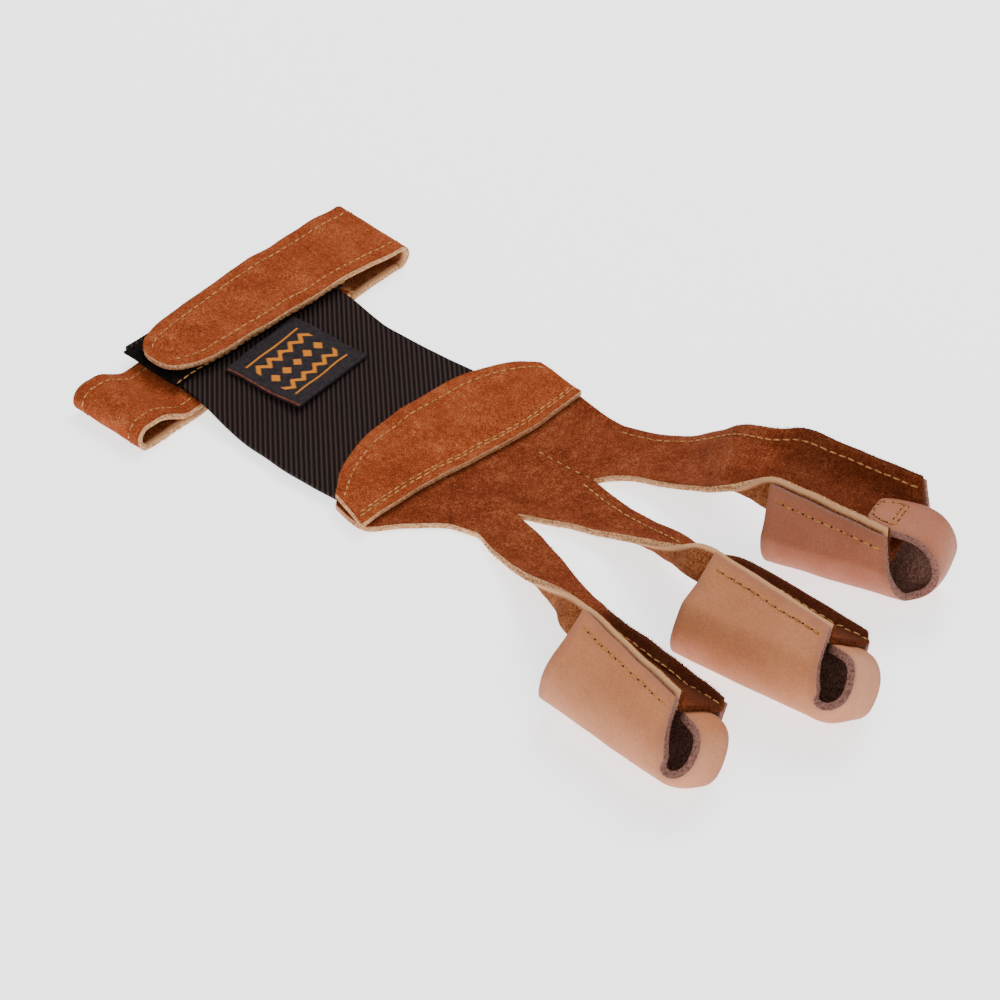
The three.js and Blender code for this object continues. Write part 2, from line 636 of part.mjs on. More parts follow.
const suede = { color: 0xa8592b, roughness: 0.95, metalness: 0 };
const smoothLeather = { color: 0xc08a62, roughness: 0.6, metalness: 0 };
const webbing = { color: 0x2a2422, roughness: 0.85, metalness: 0 };
const tape = { color: 0x1c1a1a, roughness: 1, metalness: 0 };
const woven = { color: 0x2e2a2c, roughness: 0.7, metalness: 0 };

const glove = new THREE.Group();

/** Adds a sheet to the glove as a named solid. */
function addPiece(name, sheet, thick, finish) {
  const mesh = new THREE.Mesh(sheet.solid(thick), new THREE.MeshStandardMaterial(finish));
  mesh.name = name;
  glove.add(mesh);
}

const stalls = FINGERS.map(stallSizes);
addPiece('hand_piece', handSheet(stalls), BODY.thick, suede);
stalls.forEach((stall) => addPiece(`${stall.name}_stall`, stallSheet(stall), STALL.thick, smoothLeather));
addPiece('knuckle_patch', patchSheet(), BODY.thick, suede);
addPiece('elastic_band', elasticSheet(), ELASTIC.thick, webbing);
addPiece('wrist_strap', strapSheet(), STRAP.thick, suede);

const strapFront = strapMiddle + STRAP.width / 2;
const loopSheet = tapeSheet(
  strapFront - TAPE.loopInset, TAPE.loopWidth, innerEnd - TAPE.loopLength, TAPE.loopLength, layer.loopTape,
);
addPiece('loop_tape', loopSheet, TAPE.thick, tape);
const hookStart = tongueEnd + STRAP.width * STRAP_PLACES.tip;
const hookSheet = tapeSheet(
  strapFront - TAPE.hookInset, TAPE.hookWidth, hookStart, innerEnd - hookStart, layer.hookTape,
);
addPiece('hook_tape', hookSheet, TAPE.thick, tape);
addPiece('woven_label', labelSheet(), LABEL.thick, woven);

// The origin is the middle of the glove's outline, on the table
const box = new THREE.Box3().setFromObject(glove);
const centre = box.getCenter(new THREE.Vector3());
glove.position.set(-centre.x, -centre.y, -box.min.z);

export default glove;
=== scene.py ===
"""Dresses a three-finger archery glove that lies on a table with its wrist strap closed.

Each piece of the frame is modelled again as a fine sheet on the same middle surface, given its real
thickness, its cut edges and its finish, and then sewn with thread. Lengths in this file are in
millimetres in the glove's own working frame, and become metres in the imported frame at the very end.
"""

from __future__ import annotations

import logging
import math
import random
from dataclasses import dataclass, field, replace
from enum import Enum
from typing import Callable, Sequence

import bmesh
import bpy
from mathutils import Matrix, Vector, kdtree, noise

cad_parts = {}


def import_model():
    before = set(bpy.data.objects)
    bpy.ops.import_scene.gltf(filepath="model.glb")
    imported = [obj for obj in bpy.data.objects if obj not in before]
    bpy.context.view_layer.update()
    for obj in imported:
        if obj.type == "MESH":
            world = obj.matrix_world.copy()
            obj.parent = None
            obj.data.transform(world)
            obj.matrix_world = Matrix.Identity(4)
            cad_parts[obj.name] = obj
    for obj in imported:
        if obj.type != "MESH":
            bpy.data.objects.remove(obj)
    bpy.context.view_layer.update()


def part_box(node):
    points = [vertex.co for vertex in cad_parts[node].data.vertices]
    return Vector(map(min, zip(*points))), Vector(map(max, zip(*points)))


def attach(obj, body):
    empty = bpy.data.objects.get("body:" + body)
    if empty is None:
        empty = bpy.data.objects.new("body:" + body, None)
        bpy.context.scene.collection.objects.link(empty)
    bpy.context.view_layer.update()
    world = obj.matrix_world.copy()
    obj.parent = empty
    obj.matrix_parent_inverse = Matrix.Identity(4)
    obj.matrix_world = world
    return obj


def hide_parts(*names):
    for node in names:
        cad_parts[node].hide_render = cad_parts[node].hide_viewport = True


LOG = logging.getLogger("glove")
MM = 0.001
GAP = 0.3
ROOT = "root"
TILE_MARGIN = 0.01
Grid = list[list[Vector]]


# Arithmetic of points and curves


def mix(a: float, b: float, t: float) -> float:
    """Returns the value a share t of the way from a to b."""
    return a + (b - a) * t


def smoothstep(x: float, low: float, high: float) -> float:
    """Eases from 0 to 1 between two values.

    Args:
        x: The value looked at.
        low: Where the result is still 0.
        high: Where the result is 1.

    Returns:
        The eased share.
    """
    t = min(max((x - low) / (high - low), 0.0), 1.0)
    return t * t * (3 - 2 * t)


def shares(steps: int) -> list[float]:
    """Returns the shares from 0 to 1 in a number of equal steps."""
    return [i / steps for i in range(steps + 1)]


class Curve:
    """A centripetal Catmull-Rom curve through a few points."""

    STEPS = 200
    SHORTEST = 1e-2

    def __init__(self, points: Sequence[Vector]) -> None:
        """Keeps the points and adds one beyond each end.

        Args:
            points: The points that the curve runs through.
        """
        first = points[0] * 2 - points[1]
        last = points[-1] * 2 - points[-2]
        self.points = [first, *points, last]
        self.lengths: list[float] = []

    def point(self, t: float) -> Vector:
        """Returns the point at a parameter from 0 to 1, with equal parameter between points."""
        count = len(self.points) - 3
        place = min(max(t, 0.0), 1.0) * count
        n = min(int(place), count - 1)
        w = place - n
        p0, p1, p2, p3 = self.points[n:n + 4]
        d0, d1, d2 = ((b - a).length ** 0.5 for a, b in ((p0, p1), (p1, p2), (p2, p3)))
        d1 = d1 if d1 > self.SHORTEST else 1.0
        d0 = d0 if d0 > self.SHORTEST else d1
        d2 = d2 if d2 > self.SHORTEST else d1
        t1 = ((p1 - p0) / d0 - (p2 - p0) / (d0 + d1) + (p2 - p1) / d1) * d1
        t2 = ((p2 - p1) / d1 - (p3 - p1) / (d1 + d2) + (p3 - p2) / d2) * d1
        c2 = p2 * 3 - p1 * 3 - t1 * 2 - t2
        c3 = p1 * 2 - p2 * 2 + t1 + t2
        return p1 + t1 * w + c2 * (w * w) + c3 * (w * w * w)

    def point_at(self, share: float) -> Vector:
        """Returns the point at a share of the curve's length."""
        if not self.lengths:
            before = self.point(0)
            total = 0.0
            self.lengths.append(0.0)
            for t in shares(self.STEPS)[1:]:
                here = self.point(t)
                total += (here - before).length
                self.lengths.append(total)
                before = here
        want = share * self.lengths[-1]
        low, high = 0, self.STEPS
        while high - low > 1:
            middle = (low + high) // 2
            if self.lengths[middle] <= want:
                low = middle
            else:
                high = middle
        span = self.lengths[high] - self.lengths[low]
        return self.point((low + (want - self.lengths[low]) / span) / self.STEPS)


@dataclass
class CoonsPatch:
    """A patch filled between four edges, from start to end and from near to far."""

    start: Callable[[float], Vector]
    end: Callable[[float], Vector]
    near: Callable[[float], Vector]
    far: Callable[[float], Vector]

    def grid(self, columns: int, rows: int) -> Grid:
        """Returns the patch's points.

        Args:
            columns: Steps from near to far.
            rows: Steps from start to end.

        Returns:
            Rows of points.
        """
        starts = [self.start(u) for u in shares(columns)]
        ends = [self.end(u) for u in shares(columns)]
        nears = [self.near(v) for v in shares(rows)]
        fars = [self.far(v) for v in shares(rows)]
        result: Grid = []
        for r, v in enumerate(shares(rows)):
            row = []
            for c, u in enumerate(shares(columns)):
                across = nears[r].lerp(fars[r], u)
                along = starts[c].lerp(ends[c], v)
                corners = starts[0].lerp(starts[-1], u).lerp(ends[0].lerp(ends[-1], u), v)
                row.append(across + along - corners)
            result.append(row)
        return result


# Sizes of the glove


@dataclass(frozen=True)
class BodySizes:
    """The suede body over the knuckles."""

    length: float = 50
    width: float = 76
    thick: float = 1.6
    back_share: float = -0.76
    straps_share: float = 0.246

    @property
    def back(self) -> float:
        """Where the body's wrist edge lies."""
        return self.back_share * self.length

    def point(self, along: float, side: float, height: float) -> Vector:
        """Returns a point of the body's outline from its shares, at a height."""
        return Vector((self.back + along * self.length, side * self.width, height))


@dataclass(frozen=True)
class NeckSizes:
    """The finger straps between the body and the stalls."""

    reach: float = 55
    width: float = 12
    margin: float = 5


@dataclass(frozen=True)
class StallSizes:
    """What the three leather stalls share."""

    radius: float = 10.5
    side: float = 12
    length: float = 40
    thick: float = 1.9
    notch: float = 2.6
    sweep: float = 5
    fillet: float = 5
    tongue_width: float = 12
    tongue_tail: float = 8
    tongue_tip: float = 0.45
    curl_radius: float = 7.5
    curl_lead: float = 2.5


@dataclass(frozen=True)
class SeamSizes:
    """How a strap's turned-up margins stand inside the stall's walls."""

    overlap: float = 0.8
    depth: float = 5.2
    overhang: float = 1.2
    sag: float = 0.17
    proud: float = 0.8


@dataclass(frozen=True)
class ElasticSizes:
    """The ribbed elastic band."""

    length: float = 86
    width: float = 59
    thick: float = 1.2
    tuck: float = 16
    sag: float = 2.4
    descent: float = 18
    rise: float = 12


@dataclass(frozen=True)
class StrapSizes:
    """The wrist strap, one strip folded over at both ends."""

    width: float = 23.9
    thick: float = 1.5
    span: float = 103.6
    inner: float = 80
    tongue: float = 82
    taper: float = 4
    taper_run: float = 48
    bulge: float = 4.9
    bulge_run: float = 11
    bulge_end: float = 7
    fold: float = 7.2
    hump: float = 1.8
    hump_run: float = 24
    left_share: float = -0.47
    skew_left: float = 0.31
    skew_right: float = -0.02
    rounding: float = 0.5
    tip: float = 0.25


@dataclass(frozen=True)
class TapeSizes:
    """Both hook-and-loop tapes."""

    thick: float = 0.9
    loop_width: float = 20
    loop_length: float = 59
    hook_width: float = 18
    loop_inset: float = 1
    hook_inset: float = 3


@dataclass(frozen=True)
class LabelSizes:
    """The folded woven label."""

    length: float = 24
    width: float = 27.6
    thick: float = 1.0
    turn: float = 7
    side: float = -1.2
    offset: float = 1.5
    lift: float = 0.9


BODY = BodySizes()
NECK = NeckSizes()
STALL = StallSizes()
SEAM = SeamSizes()
ELASTIC = ElasticSizes()
STRAP = StrapSizes()
TAPE = TapeSizes()
LABEL = LabelSizes()


class Layers:
    """Heights of the middle surfaces that lie on one another."""

    body = BODY.thick / 2
    strap_bottom = STRAP.thick / 2
    strap_inner = STRAP.thick * 1.5 + GAP
    elastic_wrist = strap_inner + STRAP.thick / 2 + GAP + ELASTIC.thick / 2
    loop_tape = elastic_wrist + ELASTIC.thick / 2 + GAP + TAPE.thick / 2
    hook_tape = loop_tape + TAPE.thick + GAP
    strap_tongue = hook_tape + TAPE.thick / 2 + GAP + STRAP.thick / 2
    elastic_hand = BODY.thick + GAP + ELASTIC.thick / 2
    patch_high = elastic_hand + ELASTIC.thick / 2 + GAP + BODY.thick / 2
    patch_low = BODY.thick * 1.5 + GAP * 2


class Places:
    """Places along and across the glove that several pieces share."""

    straps_start = BODY.straps_share * BODY.length
    elastic_front = BODY.back + ELASTIC.tuck
    elastic_back = elastic_front - ELASTIC.length
    strap_middle = elastic_back + STRAP.width / 2 - GAP
    strap_front = strap_middle + STRAP.width / 2
    strap_left = STRAP.left_share * STRAP.span
    strap_right = strap_left + STRAP.span
    inner_end = strap_left + STRAP.inner
    tongue_end = strap_right - STRAP.tongue


# Outlines, in shares of the body's length and width
WRIST_EDGE = ((0.23, -0.395), (0.118, -0.3), (0.026, -0.145), (-0.004, 0.018),
              (0.004, 0.197), (0.036, 0.366), (0.13, 0.5), (0.244, 0.562))
BODY_NEAR_EDGE = ((0.23, -0.395), (0.44, -0.41), (0.586, -0.305), (0.72, -0.22), (0.88, -0.188))
BODY_FAR_EDGE = ((0.244, 0.562), (0.394, 0.572), (0.538, 0.556), (0.728, 0.537), (0.84, 0.539))
ROOTS = ((0.88, -0.188), (0.92, -0.03), (1.006, 0.258), (0.84, 0.539))
PATCH_NEAR_EDGE = ((0.23, -0.395), (0.46, -0.432))
PATCH_CUT_EDGE = ((0.46, -0.432), (0.462, -0.247), (0.48, -0.071),
                  (0.53, 0.179), (0.544, 0.367), (0.53, 0.556))
PATCH_FAR_EDGE = ((0.244, 0.562), (0.53, 0.556))
# The elastic's bowed edges: share of its length, then both sides as shares of its width
ELASTIC_EDGES = ((0, -0.42, 0.51), (0.28, -0.445, 0.505), (0.48, -0.485, 0.485),
                 (0.68, -0.505, 0.495), (0.86, -0.5, 0.52), (1, -0.49, 0.525))
SECTION_COLUMNS = (0, 0.11, 0.22, 0.3, 0.42, 0.58, 0.7, 0.78, 0.89, 1)
MARGIN_DOWN = (0, 0.5, 1)
TROUGH_FLOOR = (0.12, 0.35, 0.65, 0.88)
NECK_FLOOR = (-0.76, -0.3, 0.3, 0.76)
TROUGH_RUNS = (-0.07, 0.15, 0.37, 0.59, 0.78)
WIDEST_MARGIN = 0.6
# How far each column of a finger strap stops short, which rounds the corners of its fins
FIN_CORNER = (1.6, 0.7, 0.2, 0, 0, 0, 0, 0.2, 0.7, 1.6)


@dataclass(frozen=True)
class NeckSection:
    """A cross-section of a finger strap, in shares as in the part's own table."""

    run: float
    side: float
    lift: float
    spread: float
    roll: float
    near: float
    far: float


@dataclass(frozen=True)
class Finger:
    """One finger's stall and strap, in shares of the sizes that all stalls share."""

    name: str
    along: float
    side_place: float
    heading: float
    roll_mouth: float
    roll_tip: float
    pitch: float
    radius_mouth: float
    radius_tip: float
    side_mouth: float
    side_tip: float
    far_mouth: float
    far_tip: float
    lean: float
    flatten: float
    length_share: float
    notch_share: float
    slant_share: float
    curl: float
    tail_share: float
    tongue_near: float
    tongue_far: float
    depth_tip: float
    sections: tuple[NeckSection, ...]

    @property
    def length(self) -> float:
        """Length of the stall from its mouth to the start of its curl."""
        return self.length_share * STALL.length

    @property
    def mouth(self) -> Vector:
        """The bottom of the stall's mouth, on the table."""
        along = Places.straps_start + self.along * NECK.reach
        return Vector((along, self.side_place * BODY.width, 0))

    @property
    def near(self) -> float:
        """The tongue's near edge as a girth."""
        return -self.tongue_near * STALL.tongue_width

    @property
    def far(self) -> float:
        """The tongue's far edge as a girth."""
        return self.tongue_far * STALL.tongue_width

    def radius(self, s: float) -> float:
        """Returns the U's radius at a share of the length."""
        return mix(self.radius_mouth, self.radius_tip, s) * STALL.radius

    def side(self, s: float) -> float:
        """Returns the walls' height at a share of the length."""
        return mix(self.side_mouth, self.side_tip, s) * STALL.side

    def far_side(self, s: float) -> float:
        """Returns how much taller the far wall is at a share of the length."""
        return mix(self.far_mouth, self.far_tip, s)

    def half_girth(self, s: float) -> float:
        """Returns half the leather's girth at a share of the length."""
        return math.pi * self.radius(s) / 2 + self.side(s)

    def axes(self, s: float) -> tuple[Vector, Vector, Vector]:
        """Returns the directions ahead, across and up through the stall at a share of its length."""
        heading, pitch = math.radians(self.heading), math.radians(self.pitch)
        roll = math.radians(mix(self.roll_mouth, self.roll_tip, s))
        ahead = Vector((math.cos(heading) * math.cos(pitch), math.sin(heading) * math.cos(pitch),
                        math.sin(pitch)))
        level = Vector((-math.sin(heading), math.cos(heading), 0))
        upright = ahead.cross(level)
        across = level * math.cos(roll) - upright * math.sin(roll)
        up = level * math.sin(roll) + upright * math.cos(roll)
        return ahead, across, up

    def point(self, run: float, girth: float, out: float = 0.0) -> Vector:
        """Finds a point on the stall's leather.

        Args:
            run: The way from the mouth.
            girth: The way round from the bottom line, negative on the near side.
            out: The distance outside the middle surface.

        Returns:
            The point in the working frame.
        """
        s = min(run / self.length, 1.0)
        ahead, across, up = self.axes(s)
        radius = self.radius(s)
        beside = max(girth - self.far, self.near - girth, 0.0)
        lead = STALL.curl_lead * (1 - smoothstep(beside / STALL.fillet, 0, 1))
        curl_start = self.length - lead
        curl_radius = self.curl * STALL.curl_radius
        spot = self.mouth + ahead * min(run, curl_start)
        spot.z += radius + STALL.thick / 2
        spot -= up * radius
        turn = min(max(run - curl_start, 0.0) / curl_radius, math.pi)
        past = max(run - curl_start - math.pi * curl_radius, 0.0)
        spot += ahead * (curl_radius * math.sin(turn) - past)
        spot += up * (curl_radius * (1 - math.cos(turn)))
        inward = up * math.cos(turn) - ahead * math.sin(turn)
        bend = (1 - self.flatten * smoothstep(turn / (math.pi / 2), 0, 1)) / radius
        arc = min(abs(girth), math.pi / 2 / bend)
        straight = (abs(girth) - arc) * (self.far_side(s) if girth > 0 else 1.0)
        way = (girth > 0) - (girth < 0)
        sideways = way * math.sin(arc * bend) / bend + self.lean * straight
        rise = (1 - math.cos(arc * bend)) / bend + straight
        normal = across * (way * math.sin(arc * bend))
        normal += inward * (-way * self.lean if straight > 0 else -math.cos(arc * bend))
        return spot + across * sideways + inward * rise + normal.normalized() * out

    def trough(self, run: float) -> list[Vector]:
        """Returns the strap's cross-section inside the stall at a way from the mouth."""
        s = min(max(run / self.length, 0.0), 1.0)
        edge = self.half_girth(s)
        inset = -(STALL.thick / 2 + GAP + BODY.thick / 2)
        depth = SEAM.depth * mix(1, self.depth_tip, smoothstep(s, 0, 1))
        downs = [-SEAM.overlap if t == 0 else depth * t for t in MARGIN_DOWN]
        reach = min(run, self.length)
        near = [self.point(reach, -(edge - down), inset) for down in (downs[0] - SEAM.proud, *downs[1:])]
        far = [self.point(reach, edge - down / self.far_side(s), inset) for down in downs]
        up = self.axes(s)[2]
        floor = [near[2].lerp(far[2], t) - up * (SEAM.sag * depth) for t in TROUGH_FLOOR]
        return [*near, *floor, *reversed(far)]

    def neck(self, section: NeckSection, root: Vector, mouth: Vector) -> list[Vector]:
        """Returns the strap's cross-section between its root and its stall.

        Args:
            section: The section's shares.
            root: The middle of the strap's root.
            mouth: The middle of the strap at the stall's mouth.

        Returns:
            Ten points from the near margin to the far one.
        """
        chord = mouth - root
        travel = math.atan2(chord.y, chord.x)
        heading = mix(travel, math.radians(self.heading), section.run ** 2)
        level = Vector((-math.sin(heading), math.cos(heading), 0))
        roll = math.radians(section.roll * self.roll_mouth)
        across = level * math.cos(roll) - Vector((0, 0, math.sin(roll)))
        up = level * math.sin(roll) + Vector((0, 0, math.cos(roll)))
        middle = root.lerp(mouth, section.run) + level * (section.side * NECK.width)
        middle.z = root.z + section.lift * (mouth.z - root.z)
        half = section.spread * NECK.width / 2
        margin = min(NECK.margin, half * WIDEST_MARGIN)
        flat = half - margin

        def side(way: int, fold: float) -> list[Vector]:
            """Returns the three points of one margin, from its cut edge inwards."""
            angle = fold * math.pi / 2
            outs = [(1 - down) * margin for down in MARGIN_DOWN]
            return [middle + across * (way * (flat + out * math.cos(angle))) + up * (out * math.sin(angle))
                    for out in outs]

        floor = [middle + across * (t * flat) for t in NECK_FLOOR]
        return [*side(-1, section.near), *floor, *reversed(side(1, section.far))]


FINGERS = (
    Finger("ring", 0.84, -0.532, -2.5, 54, 44, 0.5, 0.886, 0.97, 0.96, 0.58, 1.25, 1.45, 0.05, 0.98,
           1.01, 0.6, 0.05, 0.9, 0.35, 0.5, 0.5, 0.22,
           (NeckSection(0.235, 0.18, 0.1, 1.1, 0.02, 0.1, 0.0),
            NeckSection(0.42, 0.23, 0.28, 1.02, 0.1, 0.2, 0.0),
            NeckSection(0.65, 0.12, 0.62, 1.35, 0.5, 0.5, 0.2),
            NeckSection(0.86, 0.1, 0.95, 1.7, 0.7, 0.8, 0.4))),
    Finger("middle", 1.017, -0.095, 4.1, 40.5, 47.8, 2.3, 1.055, 1.0, 1.08, 0.66, 0.9, 1.25, 0.4, 0.98,
           1.04, 0.6, 0.07, 0.97, 0.35, 0.5, 0.76, 0.22,
           (NeckSection(0.19, 0.24, 0.06, 1.32, 0.0, 0.1, 0.0),
            NeckSection(0.415, 0.42, 0.22, 0.92, 0.05, 0.2, 0.0),
            NeckSection(0.67, 0.25, 0.65, 1.15, 0.4, 0.5, 0.2),
            NeckSection(0.87, 0.03, 0.92, 1.6, 0.85, 0.8, 0.3))),
    Finger("index", 0.889, 0.416, 15.9, 6.5, 4.7, 2.5, 1.045, 1.15, 0.93, 0.53, 1.19, 1.19, 0.45, 0.735,
           0.888, 0.2, 0.0, 1.2, 1.25, 0.42, 0.7, 1.0,
           (NeckSection(0.19, 0.28, 0.08, 1.58, 0.0, 0.1, 0.0),
            NeckSection(0.43, 0.41, 0.32, 1.7, -1.6, 0.1, 0.0),
            NeckSection(0.64, 0.22, 0.78, 1.8, -3.6, 0.3, 0.1),
            NeckSection(0.86, 0.02, 1.0, 2.0, -2.2, 0.7, 0.4))),
)


# Colours and materials


def linear(hex_colour: str) -> tuple[float, float, float, float]:
    """Turns an sRGB hex colour such as "#A8592B" into linear red, green, blue and alpha."""
    values = [int(hex_colour[i:i + 2], 16) / 255 for i in (1, 3, 5)]
    return (*(v / 12.92 if v <= 0.04045 else ((v + 0.055) / 1.055) ** 2.4 for v in values), 1.0)


def per_metre(size_mm: float) -> float:
    """Returns a texture scale whose features are about a size in millimetres."""
    return 1 / (size_mm * MM)


def wave_scale(size_mm: float) -> float:
    """Returns the scale of a band texture, which repeats each 2 pi / 20 of its scaled coordinate."""
    return math.tau / 20 / (size_mm * MM)


def add_node(tree: bpy.types.NodeTree, kind: str, settings: dict[str, object] | None = None,
             links: dict[str | int, bpy.types.NodeSocket] | None = None) -> bpy.types.Node:
    """Adds a shader node with its settings and links.

    Args:
        tree: The material's node tree.
        kind: The node's type without its ShaderNode prefix.
        settings: Values by property name, or by input name or number.
        links: Sockets to link from, by the input's name or number.

    Returns:
        The new node.
    """
    node = tree.nodes.new(f"ShaderNode{kind}")
    for key, value in (settings or {}).items():
        if isinstance(key, str) and hasattr(node, key) and key not in node.inputs:
            setattr(node, key, value)
        else:
            node.inputs[key].default_value = value
    for key, socket in (links or {}).items():
        tree.links.new(socket, node.inputs[key])
    return node


def ramp(tree: bpy.types.NodeTree, source: bpy.types.NodeSocket,
         stops: Sequence[tuple[float, str]]) -> bpy.types.Node:
    """Adds a colour ramp with sRGB hex stops.

    Args:
        tree: The material's node tree.
        source: The socket that drives the ramp.
        stops: Places from 0 to 1 with their hex colours.

    Returns:
        The ramp's node.
    """
    node = add_node(tree, "ValToRGB", links={0: source})
    elements = node.color_ramp.elements
    while len(elements) < len(stops):
        elements.new(0.5)
    for element, (place, colour) in zip(elements, stops):
        element.position = place
        element.color = linear(colour)
    return node


class Surface(Enum):
    """Which face of a sheet a finish is for."""

    OUTER = 0
    BACK = 1
    CUT = 2


@dataclass(frozen=True)
class Finish:
    """A finish that starts from a principled shader on object coordinates."""

    name: str
    roughness: float = 0.8
    specular: float = 0.3
    sheen: float = 0.0
    sheen_tint: str = "#C98A5C"

    def material(self) -> bpy.types.Material:
        """Returns the finish's material, made once."""
        found = bpy.data.materials.get(self.name)
        if found:
            return found
        material = bpy.data.materials.new(self.name)
        material.use_nodes = True
        tree = material.node_tree
        tree.nodes.clear()
        shader = add_node(tree, "BsdfPrincipled", {
            "Roughness": self.roughness, "Specular IOR Level": self.specular,
            "Sheen Weight": self.sheen, "Sheen Roughness": 0.5, "Sheen Tint": linear(self.sheen_tint),
        })
        add_node(tree, "OutputMaterial", links={"Surface": shader.outputs["BSDF"]})
        place = add_node(tree, "TexCoord").outputs["Object"]
        self.paint(tree, shader, place)
        return material

    def paint(self, tree: bpy.types.NodeTree, shader: bpy.types.Node, place: bpy.types.NodeSocket) -> None:
        """Links the finish's colour and relief; each finish has its own."""

    @staticmethod
    def relief(tree: bpy.types.NodeTree, shader: bpy.types.Node, height: bpy.types.NodeSocket,
               depth_mm: float, strength: float) -> None:
        """Adds relief to a shader.

        Args:
            tree: The material's node tree.
            shader: The principled shader.
            height: The socket with the relief's height from 0 to 1.
            depth_mm: The height in millimetres.
            strength: The relief's strength from 0 to 1.
        """
        bump = add_node(tree, "Bump", {"Distance": depth_mm * MM, "Strength": strength}, {"Height": height})
        tree.links.new(bump.outputs["Normal"], shader.inputs["Normal"])


@dataclass(frozen=True)
class Suede(Finish):
    """Split cowhide, dyed brown and brushed, so its nap stands up in matted tufts."""

    colours: tuple[str, str, str, str] = ("#5E2712", "#84371B", "#9B4825", "#BC7B4C")
    grain_mm: float = 0.34
    tuft_mm: float = 1.1
    patch_mm: float = 9.0
    # painted shade: the colour the suede darkens towards inside the finger straps' troughs
    painted_trough_shade: str = "#34150A"
    # paler near the cut edge: partly the cut edge's own cream, partly a painted highlight along the edge
    cut_edge_cream_and_highlight: str = "#D8A478"
    cream_and_highlight_mm: float = 0.0

    def paint(self, tree: bpy.types.NodeTree, shader: bpy.types.Node, place: bpy.types.NodeSocket) -> None:
        """Links mottled browns over a tufted nap with a fine grain, with painted shade inside the straps'
        troughs.
        """
        patches, tufts, grain = (
            add_node(tree, "TexNoise", {"Scale": per_metre(size), "Detail": detail, "Roughness": 0.7},
                     {"Vector": place})
            for size, detail in ((self.patch_mm, 3.0), (self.tuft_mm, 3.0), (self.grain_mm, 2.0)))
        fine = add_node(tree, "Mix", {"data_type": "FLOAT", 0: 0.72},
                        {2: tufts.outputs["Fac"], 3: grain.outputs["Fac"]})
        mixed = add_node(tree, "Mix", {"data_type": "FLOAT", 0: 0.78},
                         {2: patches.outputs["Fac"], 3: fine.outputs[0]})
        low, mid, high, top = self.colours
        colour = ramp(tree, mixed.outputs[0], ((0.385, low), (0.465, mid), (0.54, high), (0.66, top)))
        # painted shade: the piece's map darkens the suede where the troughs lie in shade
        painted_trough_shade = add_node(tree, "Attribute", {"attribute_name": "painted_trough_shade"})
        toned = add_node(tree, "Mix", {"data_type": "RGBA", 7: linear(self.painted_trough_shade)},
                         {0: painted_trough_shade.outputs["Fac"], 6: colour.outputs["Color"]})
        # the face turns cream towards the cut edge: partly the cut edge's own colour, partly a painted
        # highlight
        if self.cream_and_highlight_mm:
            edge = add_node(tree, "Attribute", {"attribute_name": "edge"})
            near = add_node(tree, "MapRange", {"From Min": self.cream_and_highlight_mm * 0.5, "From Max": self.cream_and_highlight_mm,
                                               "To Min": 0.85, "To Max": 0.0}, {"Value": edge.outputs["Fac"]})
            toned = add_node(tree, "Mix", {"data_type": "RGBA", 7: linear(self.cut_edge_cream_and_highlight)},
                             {0: near.outputs[0], 6: toned.outputs[2]})
        tree.links.new(toned.outputs[2], shader.inputs["Base Color"])
        self.relief(tree, shader, fine.outputs[0], 0.42, 0.85)


@dataclass(frozen=True)
class CutEdge(Finish):
    """The raw cut through split leather: pale, undyed fibres, painted dark brown as painted shade where the
    edge lies in shade.
    """

    colours: tuple[str, str] = ("#B27A4E", "#DFB186")
    # painted shade: the dark brown of cut edges that lie in shade
    painted_edge_shade: str = "#4A2110"
    fibre_mm: float = 0.6

    def paint(self, tree: bpy.types.NodeTree, shader: bpy.types.Node, place: bpy.types.NodeSocket) -> None:
        """Links pale fibrous colour and relief."""
        fibres = add_node(tree, "TexNoise", {
            "Scale": per_metre(self.fibre_mm), "Detail": 4.0, "Roughness": 0.7}, {"Vector": place})
        colour = ramp(tree, fibres.outputs["Fac"], ((0.36, self.colours[0]), (0.58, self.colours[1])))
        # painted shade: the piece's map turns shaded cut edges dark brown
        painted_edge_shade = add_node(tree, "Attribute", {"attribute_name": "painted_edge_shade"})
        toned = add_node(tree, "Mix", {"data_type": "RGBA", 7: linear(self.painted_edge_shade)},
                         {0: painted_edge_shade.outputs["Fac"], 6: colour.outputs["Color"]})
        tree.links.new(toned.outputs[2], shader.inputs["Base Color"])
        self.relief(tree, shader, fibres.outputs["Fac"], 0.3, 0.7)


